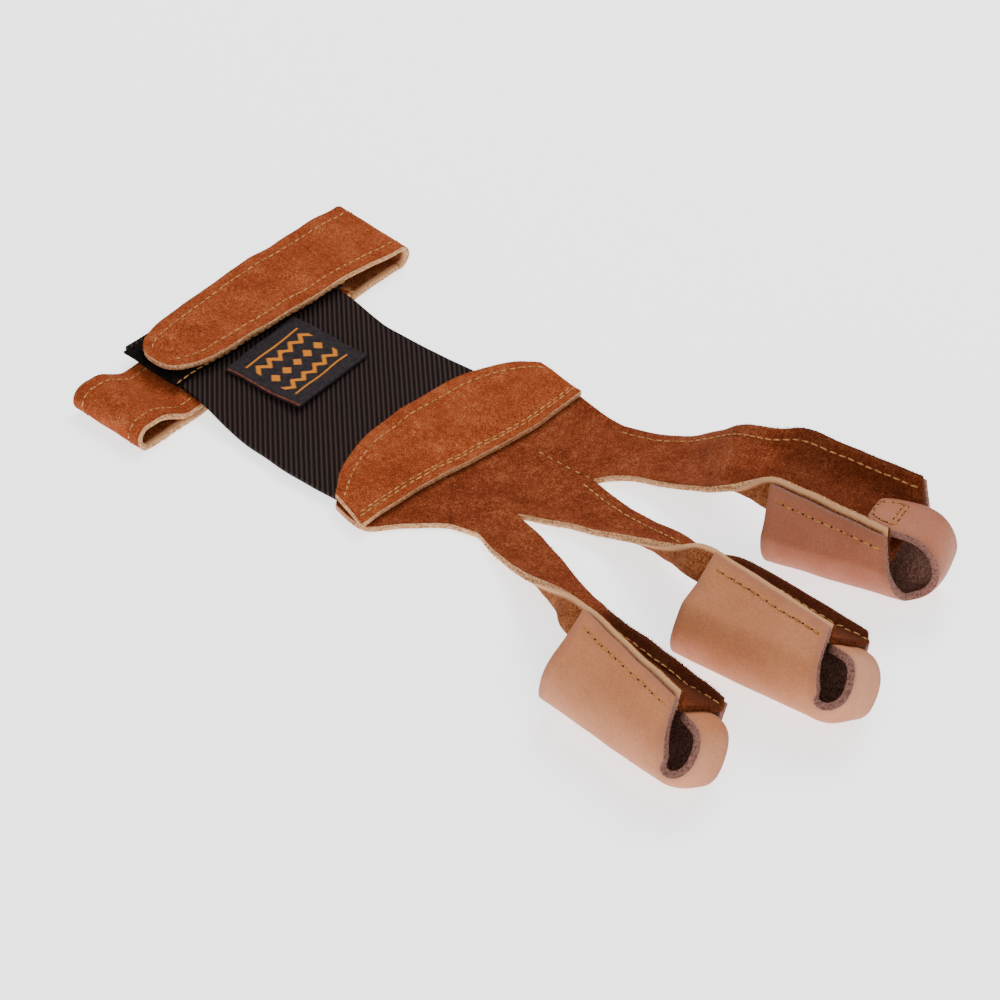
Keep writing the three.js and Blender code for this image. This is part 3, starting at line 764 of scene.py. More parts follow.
@dataclass(frozen=True)
class GrainLeather(Finish):
    """Smooth vegetable-tanned leather: a fine pored grain, satin, duller along its cut margins."""

    base: str = "#BA7850"
    cloud: str = "#A96844"
    margin: str = "#96624C"
    margin_mm: float = 2.6
    cloud_mm: float = 11.0
    pore_mm: float = 0.5
    wrinkle_mm: float = 3.0
    crease_mm: float = 10.0

    def paint(self, tree: bpy.types.NodeTree, shader: bpy.types.Node, place: bpy.types.NodeSocket) -> None:
        """Links clouded tan, the dull margin, pores, faint crease relief and thin lines of painted shade
        along creases.
        """
        clouds = add_node(tree, "TexNoise", {
            "Scale": per_metre(self.cloud_mm), "Detail": 8.0, "Roughness": 0.68}, {"Vector": place})
        grain = add_node(tree, "TexNoise", {"Scale": per_metre(self.pore_mm), "Detail": 2.0},
                        {"Vector": place})
        mottle = add_node(tree, "Mix", {"data_type": "FLOAT", 0: 0.45},
                          {2: clouds.outputs["Fac"], 3: grain.outputs["Fac"]})
        colour = ramp(tree, mottle.outputs[0], ((0.38, self.cloud), (0.6, self.base)))
        edge = add_node(tree, "Attribute", {"attribute_name": "edge"})
        wander = add_node(tree, "Math", {"operation": "MULTIPLY_ADD", 1: 1.6},
                          {0: clouds.outputs["Fac"], 2: edge.outputs["Fac"]})
        # painted shade: thin darker lines in the margin colour along the cells' edges, for hairline creases
        cells = add_node(tree, "TexVoronoi", {
            "feature": "DISTANCE_TO_EDGE", "Scale": per_metre(self.crease_mm)}, {"Vector": place})
        line = add_node(tree, "MapRange", {"From Min": 0.0, "From Max": 0.016, "To Min": 0.5, "To Max": 0.0},
                        {"Value": cells.outputs["Distance"]})
        here = add_node(tree, "MapRange", {"From Min": 0.5, "From Max": 0.62},
                        {"Value": clouds.outputs["Fac"]})
        painted_crease_shade = add_node(tree, "Math", {"operation": "MULTIPLY"}, {0: line.outputs[0], 1: here.outputs[0]})
        crease_shaded = add_node(tree, "Mix", {"data_type": "RGBA", 7: linear(self.margin)},
                           {0: painted_crease_shade.outputs[0], 6: colour.outputs["Color"]})
        near_cut = add_node(tree, "MapRange", {
            "From Min": self.margin_mm * 0.55, "From Max": self.margin_mm * 1.25,
            "To Min": 0.5, "To Max": 0.0}, {"Value": wander.outputs[0]})
        tinted = add_node(tree, "Mix", {"data_type": "RGBA", 7: linear(self.margin)},
                          {0: near_cut.outputs[0], 6: crease_shaded.outputs[2]})
        tree.links.new(tinted.outputs[2], shader.inputs["Base Color"])
        pores = add_node(tree, "TexVoronoi", {"Scale": per_metre(self.pore_mm), "Randomness": 1.0},
                         {"Vector": place})
        creases = add_node(tree, "TexNoise", {
            "Scale": per_metre(self.wrinkle_mm), "Detail": 6.0, "Roughness": 0.65}, {"Vector": place})
        height = add_node(tree, "Math", {"operation": "MULTIPLY_ADD", 1: 0.25},
                          {0: pores.outputs["Distance"], 2: creases.outputs["Fac"]})
        self.relief(tree, shader, height.outputs[0], 0.3, 0.5)


@dataclass(frozen=True)
class RibbedElastic(Finish):
    """Woven rubber-cored webbing: black diagonal twill ribs over a brown-black ground."""

    rib_mm: float = 1.24
    cross_mm: float = 0.62
    fuzz_mm: float = 0.4
    turn: float = -47.0

    def paint(self, tree: bpy.types.NodeTree, shader: bpy.types.Node, place: bpy.types.NodeSocket) -> None:
        """Links the ribs' relief, a painted highlight on their tops and a fine cross thread."""
        turned = add_node(tree, "Mapping", {"Rotation": (0, 0, math.radians(self.turn))}, {"Vector": place})
        ribs = add_node(tree, "TexWave", {
            "wave_type": "BANDS", "bands_direction": "X", "wave_profile": "SIN",
            "Scale": wave_scale(self.rib_mm), "Distortion": 0.35, "Detail": 2.0, "Detail Scale": 0.6},
            {"Vector": turned.outputs["Vector"]})
        cross = add_node(tree, "TexWave", {
            "wave_type": "BANDS", "bands_direction": "X", "wave_profile": "SIN",
            "Scale": wave_scale(self.cross_mm), "Distortion": 1.0, "Detail": 1.0}, {"Vector": place})
        fuzz = add_node(tree, "TexNoise", {"Scale": per_metre(self.fuzz_mm), "Detail": 3.0},
                        {"Vector": place})
        threads = add_node(tree, "Mix", {"data_type": "FLOAT", 0: 0.5},
                           {2: cross.outputs["Fac"], 3: fuzz.outputs["Fac"]})
        woven = add_node(tree, "Mix", {"data_type": "FLOAT", 0: 0.4},
                         {2: ribs.outputs["Fac"], 3: threads.outputs[0]})
        # painted highlight: the colour lightens where the ribs stand highest
        colour = ramp(tree, woven.outputs[0], ((0.2, "#120D0C"), (0.5, "#271D1C"), (0.8, "#40332F")))
        tree.links.new(colour.outputs["Color"], shader.inputs["Base Color"])
        height = add_node(tree, "Math", {"operation": "MULTIPLY_ADD", 1: 0.25},
                          {0: threads.outputs[0], 2: ribs.outputs["Fac"]})
        self.relief(tree, shader, height.outputs[0], 0.45, 0.9)


@dataclass(frozen=True)
class FastenerPile(Finish):
    """Knitted nylon loop pile, black and fuzzy."""

    loop_mm: float = 0.7

    def paint(self, tree: bpy.types.NodeTree, shader: bpy.types.Node, place: bpy.types.NodeSocket) -> None:
        """Links near-black colour and a deep fuzzy relief."""
        pile = add_node(tree, "TexNoise", {
            "Scale": per_metre(self.loop_mm), "Detail": 4.0, "Roughness": 0.7}, {"Vector": place})
        colour = ramp(tree, pile.outputs["Fac"], ((0.35, "#040303"), (0.65, "#1F1A19")))
        tree.links.new(colour.outputs["Color"], shader.inputs["Base Color"])
        self.relief(tree, shader, pile.outputs["Fac"], 0.6, 1.0)


@dataclass(frozen=True)
class WovenRibbon(Finish):
    """Damask ribbon: a charcoal ground with the figure in orange weft, read from the piece's own map."""

    ground: str = "#30292B"
    figure: str = "#CC7A22"
    shade: str = "#211C1F"
    shade_mm: float = 1.2
    thread_mm: float = 0.32

    def paint(self, tree: bpy.types.NodeTree, shader: bpy.types.Node, place: bpy.types.NodeSocket) -> None:
        """Links the woven figure and the ribbon's fine threads."""
        figure = add_node(tree, "Attribute", {"attribute_name": "figure"})
        tone = add_node(tree, "TexNoise", {"Scale": per_metre(self.shade_mm), "Detail": 3.0},
                        {"Vector": place})
        ground = ramp(tree, tone.outputs["Fac"], ((0.35, self.shade), (0.65, self.ground)))
        colour = add_node(tree, "Mix", {"data_type": "RGBA", 7: linear(self.figure)},
                          {0: figure.outputs["Fac"], 6: ground.outputs["Color"]})
        tree.links.new(colour.outputs[2], shader.inputs["Base Color"])
        turned = add_node(tree, "Mapping", {"Rotation": (0, 0, math.radians(-LABEL.turn))}, {"Vector": place})
        scale = wave_scale(self.thread_mm)
        wefts = add_node(tree, "TexWave", {"wave_type": "BANDS", "bands_direction": "X", "Scale": scale},
                         {"Vector": turned.outputs["Vector"]})
        warps = add_node(tree, "TexWave", {"wave_type": "BANDS", "bands_direction": "Y", "Scale": scale},
                         {"Vector": turned.outputs["Vector"]})
        height = add_node(tree, "Math", {"operation": "MULTIPLY"},
                          {0: wefts.outputs["Fac"], 1: warps.outputs["Fac"]})
        self.relief(tree, shader, height.outputs[0], 0.12, 0.6)


@dataclass(frozen=True)
class SewingThread(Finish):
    """Twisted polyester thread with a slight lustre."""

    colours: tuple[str, str] = ("#A87B3C", "#E2BD7C")
    shade_mm: float = 0.8

    def paint(self, tree: bpy.types.NodeTree, shader: bpy.types.Node, place: bpy.types.NodeSocket) -> None:
        """Links a thread colour that varies from stitch to stitch."""
        tone = add_node(tree, "TexNoise", {"Scale": per_metre(self.shade_mm), "Detail": 2.0},
                        {"Vector": place})
        colour = ramp(tree, tone.outputs["Fac"], ((0.35, self.colours[0]), (0.62, self.colours[1])))
        tree.links.new(colour.outputs["Color"], shader.inputs["Base Color"])


@dataclass(frozen=True)
class PlainFinish(Finish):
    """One colour, used where a piece is too small to show a pattern."""

    colour: str = "#FFFFFF"

    def paint(self, tree: bpy.types.NodeTree, shader: bpy.types.Node, place: bpy.types.NodeSocket) -> None:
        """Sets the colour on the shader."""
        shader.inputs["Base Color"].default_value = linear(self.colour)


@dataclass(frozen=True)
class GlowingCard(PlainFinish):
    """A product photographer's light table: white card lit faintly from below, so shadows stay pale."""

    glow: float = 1.9

    def paint(self, tree: bpy.types.NodeTree, shader: bpy.types.Node, place: bpy.types.NodeSocket) -> None:
        """Sets the card's colour and its glow."""
        super().paint(tree, shader, place)
        shader.inputs["Emission Color"].default_value = linear(self.colour)
        shader.inputs["Emission Strength"].default_value = self.glow


SUEDE = Suede("brushed_split_suede", roughness=0.95, specular=0.06, sheen=0.12)
STRAP_SUEDE = Suede("brushed_split_suede_reddish", roughness=0.95, specular=0.06, sheen=0.08,
                    colours=("#451C0E", "#6E2D17", "#843D21", "#A86E48"))
# its face turns cream within 1.6 mm of the cut edge, partly the cut edge's colour and partly a painted
# highlight
SUEDE_BACK = Suede("split_suede_back", roughness=0.95, specular=0.06, sheen=0.08,
                   colours=("#46210F", "#72391C", "#8C5230", "#AC7852"), cream_and_highlight_mm=1.6)
SUEDE_CUT = CutEdge("cut_suede_edge", roughness=0.95, specular=0.06)
NAP_FIBRE = PlainFinish("suede_nap_fibre", roughness=0.95, specular=0.06, colour="#8C4A20")
PALE_FIBRE = PlainFinish("undyed_leather_fibre", roughness=0.95, specular=0.06, colour="#C89464")
LEATHER = GrainLeather("smooth_tanned_leather", roughness=0.6, specular=0.22)
RED_LEATHER = GrainLeather("smooth_tanned_leather_redder", roughness=0.6, specular=0.22,
                           base="#A8664A", cloud="#99583E", margin="#865540")
LEATHER_BACK = Suede("leather_flesh_side", roughness=0.95, specular=0.05, sheen=0.05,
                     colours=("#422B24", "#6C483C", "#866256", "#A68478"))
LEATHER_CUT = CutEdge("cut_leather_edge", roughness=0.85, specular=0.1, colours=("#5C3B34", "#8E665B"))
ELASTIC_WEAVE = RibbedElastic("ribbed_elastic", roughness=0.85, specular=0.06)
PILE = FastenerPile("loop_pile_nylon", roughness=0.95, specular=0.05)
RIBBON = WovenRibbon("woven_damask_ribbon", roughness=0.75, specular=0.1)
RUST_THREAD = SewingThread("rust_overlock_thread", roughness=0.6, colours=("#4E1D10", "#863A24"))
PALE_THREAD = SewingThread("golden_sewing_thread", roughness=0.6, specular=0.2,
                           colours=("#8C5A2A", "#CC9558"))
BROWN_THREAD = SewingThread("brown_sewing_thread", roughness=0.6, specular=0.2,
                            colours=("#74481E", "#BE8640"))
# painted shade: the dark inside of the needle holes
NEEDLE_HOLE_SHADE = PlainFinish("needle_hole_painted_shade", roughness=0.95, specular=0.05, colour="#2A170F")


# Sheets


WELD_MM = 0.02
SHARP_ANGLE = math.radians(72)
# How unevenly used leather lies: the size and height of its waves
WAVE_MM = 8.0
SWAY_MM = 0.34
# The waves' height starts at this level above the table and is full this far above that
STILL_MM = 1.0
SETTLED_MM = 4.0
# Each direction of the waves reads the noise somewhere else
WAVE_SHIFTS = (0, 31.7, 67.3)
FIBRES_PER_MM = 9.0
BATCH_SIZE = 120


@dataclass
class Sheet:
    """A sheet of real thickness on one or more grids of points that share their edges.

    An edge_round of 0 leaves the rims square.
    """

    name: str
    grids: list[Grid]
    thick: float
    finishes: tuple[Finish, Finish, Finish]
    outward: Callable[[Vector], Vector]
    edge_round: float = 0.22
    maps: dict[str, Callable[[int, float, float], float]] = field(default_factory=dict)

    def build(self, origin: Vector) -> bpy.types.Object:
        """Makes the sheet's object.

        Args:
            origin: The working frame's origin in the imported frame, in millimetres.

        Returns:
            The object, with its thickness and rounded edges as modifiers.
        """
        shape = bmesh.new()
        uv = shape.loops.layers.uv.new("UVMap")
        for number, grid in enumerate(self.grids):
            self.add_grid(shape, uv, grid, number)
        bmesh.ops.remove_doubles(shape, verts=shape.verts, dist=WELD_MM)
        self.face_outward(shape)
        edge = shape.verts.layers.float.new("edge")
        rim = [vert for vert in shape.verts if vert.is_boundary]
        tree = kdtree.KDTree(len(rim))
        for index, vert in enumerate(rim):
            tree.insert(vert.co, index)
        tree.balance()
        for vert in shape.verts:
            vert[edge] = tree.find(vert.co)[2]
        for name, value in self.maps.items():
            layer = shape.verts.layers.float.new(name)
            for vert in shape.verts:
                spot = vert.link_loops[0][uv].uv
                number = int(spot.x)
                vert[layer] = value(number, (spot.x - number - TILE_MARGIN) / (1 - 2 * TILE_MARGIN), spot.y)
        settle(shape, origin)
        piece = as_object(shape, self.name, [finish.material() for finish in self.finishes])
        wall = piece.modifiers.new("wall", "SOLIDIFY")
        wall.thickness = self.thick * MM
        wall.offset = 0
        wall.material_offset = Surface.BACK.value
        wall.material_offset_rim = Surface.CUT.value
        if self.edge_round:
            rounded = piece.modifiers.new("rounded_edges", "BEVEL")
            rounded.width = self.edge_round * MM
            rounded.segments = 2
            rounded.limit_method = "ANGLE"
            rounded.angle_limit = SHARP_ANGLE
        return piece

    @staticmethod
    def add_grid(shape: bmesh.types.BMesh, uv: bmesh.types.BMLayerItem, grid: Grid, number: int) -> None:
        """Adds a grid of faces and moves its corners to a grid of points.

        Args:
            shape: The mesh that grows.
            uv: Its layer for the map.
            grid: Rows of points.
            number: The grid's own tile in the map.
        """
        rows, columns = len(grid) - 1, len(grid[0]) - 1
        made = bmesh.ops.create_grid(shape, x_segments=columns, y_segments=rows, size=0.5)["verts"]
        for vert in made:
            for loop in vert.link_loops:
                loop[uv].uv = (number + mix(TILE_MARGIN, 1 - TILE_MARGIN, vert.co.x + 0.5), vert.co.y + 0.5)
        for vert in made:
            vert.co = grid[round((vert.co.y + 0.5) * rows)][round((vert.co.x + 0.5) * columns)]

    def face_outward(self, shape: bmesh.types.BMesh) -> None:
        """Turns the faces so that they look out of the piece."""
        shape.normal_update()
        balance = sum(face.normal.dot(self.outward(face.calc_center_median())) for face in shape.faces)
        if balance < 0:
            bmesh.ops.reverse_faces(shape, faces=shape.faces)


def settle(shape: bmesh.types.BMesh, origin: Vector) -> None:
    """Lets a mesh lie a little uneven, as used leather does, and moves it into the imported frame.

    Every mesh takes the same smooth waviness, so pieces that lie on one another stay apart. What lies
    lowest takes no height from it, so it stays on the table.

    Args:
        shape: The mesh in millimetres of the working frame.
        origin: The working frame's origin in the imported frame, in millimetres.
    """
    for vert in shape.verts:
        spot = vert.co / WAVE_MM
        sway = Vector([noise.noise(spot + Vector((shift, 0, 0))) for shift in WAVE_SHIFTS]) * SWAY_MM
        sway.z *= min(max((vert.co.z - STILL_MM) / SETTLED_MM, 0.0), 1.0)
        vert.co = (vert.co + sway + origin) * MM


def as_object(shape: bmesh.types.BMesh, name: str,
              materials: Sequence[bpy.types.Material]) -> bpy.types.Object:
    """Makes a smooth-shaded object of a mesh in packed-frame metres.

    Args:
        shape: The mesh, which is freed.
        name: The object's plain name.
        materials: Its materials by slot.

    Returns:
        The linked object.
    """
    mesh = bpy.data.meshes.new(name)
    for face in shape.faces:
        face.smooth = True
    shape.to_mesh(mesh)
    shape.free()
    for material in materials:
        mesh.materials.append(material)
    piece = bpy.data.objects.new(name, mesh)
    bpy.context.collection.objects.link(piece)
    return piece


# Lines on a sheet, for seams


Spot = tuple[Vector, Vector]


def grid_normal(grid: Grid, r: int, c: int) -> Vector:
    """Returns the grid's unit normal at a row and column."""
    up, down = grid[max(r - 1, 0)][c], grid[min(r + 1, len(grid) - 1)][c]
    left, right = grid[r][max(c - 1, 0)], grid[r][min(c + 1, len(grid[0]) - 1)]
    return (down - up).cross(right - left).normalized()


def inset_spot(grid: Grid, row: int, inset: float, from_end: bool) -> Spot:
    """Walks inwards from a row's end over a length.

    Args:
        grid: Rows of points.
        row: The row walked along.
        inset: The length of the walk.
        from_end: Whether the walk starts at the row's last point.

    Returns:
        The point reached and the normal there.
    """
    order = list(range(len(grid[row])))
    if from_end:
        order.reverse()
    gone = 0.0
    for a, b in zip(order, order[1:]):
        step = (grid[row][b] - grid[row][a]).length
        if gone + step >= inset:
            spot = grid[row][a].lerp(grid[row][b], (inset - gone) / max(step, 1e-6))
            return spot, grid_normal(grid, row, a)
        gone += step
    return grid[row][order[-1]], grid_normal(grid, row, order[-1])


def edge_line(grid: Grid, inset: float, from_end: bool, start: float = 0.0, end: float = 1.0) -> list[Spot]:
    """Returns a line that keeps a distance from one long edge.

    Args:
        grid: Rows of points.
        inset: The distance from the edge.
        from_end: Whether the edge is the rows' last column.
        start: The share of the rows where the line starts.
        end: The share where it ends.

    Returns:
        Points with normals.
    """
    last = len(grid) - 1
    rows = range(round(start * last), round(end * last) + 1)
    return [inset_spot(grid, row, inset, from_end) for row in rows]


def eased(grid: Grid, times: int) -> Grid:
    """Smooths a grid from row to row, as leather takes a bend, and keeps its two end rows.

    Args:
        grid: Rows of points.
        times: How often each row is blended with its neighbours.

    Returns:
        The smoothed rows.
    """
    for _ in range(times):
        inner = [[(a + b + c) / 3 for a, b, c in zip(*rows)] for rows in zip(grid, grid[1:], grid[2:])]
        grid = [grid[0], *inner, grid[-1]]
    return grid


def turned(grid: Grid) -> Grid:
    """Returns the grid with rows and columns swapped."""
    return [list(column) for column in zip(*grid)]


def repeat(places: Sequence[Matrix], make: Callable[[bmesh.types.BMesh, Matrix], None]) -> bmesh.types.BMesh:
    """Makes one small shape at many places, a batch at a time.

    Args:
        places: Where each copy goes, with its turn and its size.
        make: Adds one shape to a mesh at a place.

    Returns:
        One mesh with all of them.
    """
    whole = bmesh.new()
    for first in range(0, len(places), BATCH_SIZE):
        batch = bmesh.new()
        for place in places[first:first + BATCH_SIZE]:
            make(batch, place)
        carrier = bpy.data.meshes.new("batch")
        batch.to_mesh(carrier)
        batch.free()
        whole.from_mesh(carrier)
        bpy.data.meshes.remove(carrier)
    return whole


@dataclass
class Seam:
    """A row of stitches along a line on a sheet."""

    line: list[Spot]
    height: float
    pitch: float = 2.4
    length: float = 2.0
    radius: float = 0.23
    flip: bool = False
    offset: float = 0.0

    def stitches(self) -> list[tuple[Vector, Vector, Vector]]:
        """Returns each stitch's middle, direction and normal."""
        way = -1.0 if self.flip else 1.0
        spots = [(point + normal * (way * self.height), normal * way) for point, normal in self.line]
        result = []
        gone, want = 0.0, self.pitch * (0.5 + self.offset)
        for (a, normal), (b, _) in zip(spots, spots[1:]):
            step = (b - a).length
            while step > 1e-6 and gone + step >= want:
                result.append((a.lerp(b, (want - gone) / step), (b - a).normalized(), normal))
                want += self.pitch
            gone += step
        return result


@dataclass
class Stitching:
    """All the stitches of one thread on one piece, as one mesh."""

    name: str
    seams: list[Seam]
    finish: Finish
    sides: int = 6
    rings: int = 5
    twist: float = 7
    flatness: float = 0.9
    stand: float = 0.25

    def build(self, origin: Vector) -> bpy.types.Object:
        """Makes the stitches: small arched lozenges of thread whose ends dip into the leather.

        Args:
            origin: The working frame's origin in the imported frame, in millimetres.

        Returns:
            The object.
        """
        dice = random.Random(self.name)
        places = []
        for seam in self.seams:
            for middle, along, normal in seam.stitches():
                side = along.cross(normal).normalized()
                tilt = Matrix((side, normal, along)).transposed()
                twist = Matrix.Rotation(math.radians(dice.uniform(-self.twist, self.twist)), 3, normal)
                stretch = Matrix.Diagonal((seam.radius, seam.radius * self.flatness, seam.length / 2))
                place = (twist @ tilt @ stretch).to_4x4()
                place.translation = middle + normal * (seam.radius * self.stand)
                places.append(place)
        shape = repeat(places, lambda mesh, place: bmesh.ops.create_uvsphere(
            mesh, u_segments=self.sides, v_segments=self.rings, radius=1.0, matrix=place))
        bmesh.ops.recalc_face_normals(shape, faces=shape.faces)
        settle(shape, origin)
        return as_object(shape, self.name, [self.finish.material()])


@dataclass
class Fibres:
    """Loose fibres that stand out of a cut edge or a pile."""

    name: str
    roots: list[Spot]
    finish: Finish
    length: float = 0.75
    radius: float = 0.06
    spread: float = 1.0
    shortest: float = 0.4
    rooted: float = 0.4
    point: float = 0.2

    def build(self, origin: Vector) -> bpy.types.Object:
        """Makes the fibres as three-sided needles.

        Args:
            origin: The working frame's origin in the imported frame, in millimetres.

        Returns:
            The object.
        """
        dice = random.Random(self.name)
        places = []
        for root, way in self.roots:
            stray = Vector([dice.uniform(-1, 1) * self.spread for _ in range(3)])
            aim = (way + stray).normalized()
            length = self.length * dice.uniform(self.shortest, 1.0)
            stretch = Matrix.Diagonal((self.radius, self.radius, length))
            place = (aim.to_track_quat("Z", "Y").to_matrix() @ stretch).to_4x4()
            place.translation = root + aim * (length * self.rooted)
            places.append(place)
        shape = repeat(places, lambda mesh, place: bmesh.ops.create_cone(
            mesh, cap_ends=True, segments=3, radius1=1.0, radius2=self.point, depth=1.0, matrix=place))
        settle(shape, origin)
        return as_object(shape, self.name, [self.finish.material()])


def rim_roots(grid: Grid, thick: float, per_mm: float, seed: str) -> list[Spot]:
    """Scatters fibre roots over a sheet's cut edges.

    Args:
        grid: Rows of points.
        thick: The sheet's thickness.
        per_mm: Fibres on each millimetre of edge.
        seed: A word that makes the scatter repeatable.

    Returns:
        Roots with the way each fibre points.
    """
    dice = random.Random(seed)
    inner_half = 0.45
    roots: list[Spot] = []
    for table in (grid, turned(grid)):
        for c, inner in ((0, 1), (len(table[0]) - 1, len(table[0]) - 2)):
            for r in range(len(table) - 1):
                a, b = table[r][c], table[r + 1][c]
                count = (b - a).length * per_mm
                for _ in range(int(count) + (dice.random() < count % 1)):
                    t = dice.random()
                    out = (a - table[r][inner]).normalized()
                    normal = grid_normal(table, r, c)
                    lift = dice.uniform(-inner_half, inner_half) * thick
                    roots.append((a.lerp(b, t) + normal * lift, out))
    return roots


# The glove's own pieces


@dataclass
class Glove:
    """What every sub-assembly needs: the place of the working frame and the list of made pieces."""

    origin: Vector
    pieces: list[bpy.types.Object] = field(default_factory=list)

    def add(self, piece: bpy.types.Object, replaces: Sequence[str] = ()) -> bpy.types.Object:
        """Makes a piece ride on the glove and stand for its nodes.

        Args:
            piece: The finished object.
            replaces: Names of the nodes that it stands for.

        Returns:
            The same object.
        """
        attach(piece, ROOT)
        if replaces:
            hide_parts(*replaces)
        self.pieces.append(piece)
        LOG.info("%s: %d faces", piece.name, len(piece.data.polygons))
        return piece


def upward(_: Vector) -> Vector:
    """Returns the way up, for sheets that lie flat."""
    return Vector((0, 0, 1))


@dataclass
class HandPiece:
    """The suede body with its three finger straps, cut as one sheet."""

    strap_columns: int = 30
    body_rows: int = 60
    strap_rows: int = 120
    easing: int = 40
    seam_inset: float = 2.8
    near_seam: tuple[float, float] = (0.62, 0.98)
    ring_seam_start: float = 0.5
    trail: tuple[float, float, float] = (-18.6, -1.2, 0)
    grids: list[Grid] = field(default_factory=list)

    def mesh(self) -> None:
        """Works out the body's grid and the three straps' grids."""
        height = Layers.body
        roots = [BODY.point(along, side, height) for along, side in ROOTS]
        rims = [Curve([roots[n].lerp(roots[n + 1], t) for t in SECTION_COLUMNS]) for n in range(3)]

        def end(u: float) -> Vector:
            """Returns a point of the edge that the straps grow from."""
            n = min(int(u * 3), 2)
            return rims[n].point(u * 3 - n)

        start, near, far = (Curve([BODY.point(along, side, height) for along, side in edge])
                            for edge in (WRIST_EDGE, BODY_NEAR_EDGE, BODY_FAR_EDGE))
        body = CoonsPatch(start.point_at, end, near.point_at, far.point_at)
        self.grids.append(body.grid(self.strap_columns * 3, self.body_rows))
        for finger, rim in zip(FINGERS, rims):
            self.grids.append(self.strap(finger, rim))

    def strap(self, finger: Finger, rim: Curve) -> Grid:
        """Returns one finger strap's grid, from its root into its stall.

        Args:
            finger: The finger.
            rim: The strap's root on the body.

        Returns:
            Rows of points across the strap.
        """
        root = rim.points[1:-1]
        root_middle = root[0].lerp(root[-1], 0.5)
        mouth_row = finger.trough(0)
        mouth_middle = mouth_row[4].lerp(mouth_row[5], 0.5)
        end = finger.length - STALL.sweep + SEAM.overhang
        ends = [finger.trough(end - back) for back in FIN_CORNER]
        sections = [root, *(finger.neck(section, root_middle, mouth_middle) for section in finger.sections),
                    *(finger.trough(s * finger.length) for s in TROUGH_RUNS),
                    [ends[c][c] for c in range(len(root))]]
        columns = [Curve([row[c] for row in sections]) for c in range(len(root))]
        result: Grid = []
        for t in shares(self.strap_rows):
            section = Curve([column.point(t) for column in columns])
            result.append([section.point(u) for u in shares(self.strap_columns)])
        return eased(result, self.easing)

    def seams(self) -> list[Seam]:
        """Returns the seams along the straps' edges, on their upper face."""
        height = BODY.thick / 2
        result = []
        for finger, grid in zip(FINGERS, self.grids[1:]):
            far_start = self.ring_seam_start if finger.name == "ring" else 0.0
            result.append(Seam(edge_line(grid, self.seam_inset, True, far_start, 1.0), height))
            result.append(Seam(edge_line(grid, self.seam_inset, False, *self.near_seam), height))
        crotch = BODY.point(*ROOTS[2], Layers.body)
        trail = [(crotch.lerp(crotch + Vector(self.trail), t), Vector((0, 0, 1))) for t in shares(12)]
        result.append(Seam(trail, height, pitch=2.9, length=1.7, radius=0.2))
        return result

    def dress(self, glove: Glove) -> None:
        """Makes the sheet, its seams and its frayed edges."""
        # the first map is painted shade on the far cut edges and the straps' ends
        # the second map is painted shade inside the troughs of the finger straps
        sheet = Sheet("suede_hand_piece", self.grids, BODY.thick, (STRAP_SUEDE, SUEDE_BACK, SUEDE_CUT),
                      upward, edge_round=0, maps={"painted_edge_shade": self.painted_edge_shade, "painted_trough_shade": self.painted_trough_shade})
        glove.add(sheet.build(glove.origin), ["hand_piece"])
        glove.add(Stitching("hand_piece_stitches", self.seams(), PALE_THREAD).build(glove.origin))
        roots = [root for n, grid in enumerate(self.grids)
                 for root in rim_roots(grid, BODY.thick, FIBRES_PER_MM, f"hand{n}") if self.is_free(n, root)]
        glove.add(Fibres("hand_piece_frayed_edges", roots, NAP_FIBRE).build(glove.origin))

    @staticmethod
    def painted_edge_shade(_: int, across: float, along: float) -> float:
        """Returns 1 on the cut edges painted dark as painted shade: the far ones, which the fins shade, and
        the straps' ends inside the stalls.
        """
        return 1.0 if across > 0.5 or along > 0.985 else 0.0

    @staticmethod
    def painted_trough_shade(number: int, across: float, along: float) -> float:
        """Returns how much painted shade darkens the suede inside the troughs of the finger straps, where the
        fins shade it.
        """
        darkest = (0.0, 0.78, 0.78, 0.4)[number]
        return darkest * smoothstep(along, 0.38, 0.56) * smoothstep(across, 0.2, 0.6)

    @staticmethod
    def is_free(number: int, root: Spot) -> bool:
        """Tells whether a fibre root is on a real edge and not where a strap joins the body."""
        front = BODY.back + BODY.length * 0.8
        return root[0].x < front if number == 0 else root[0].x > front + BODY.length * 0.14


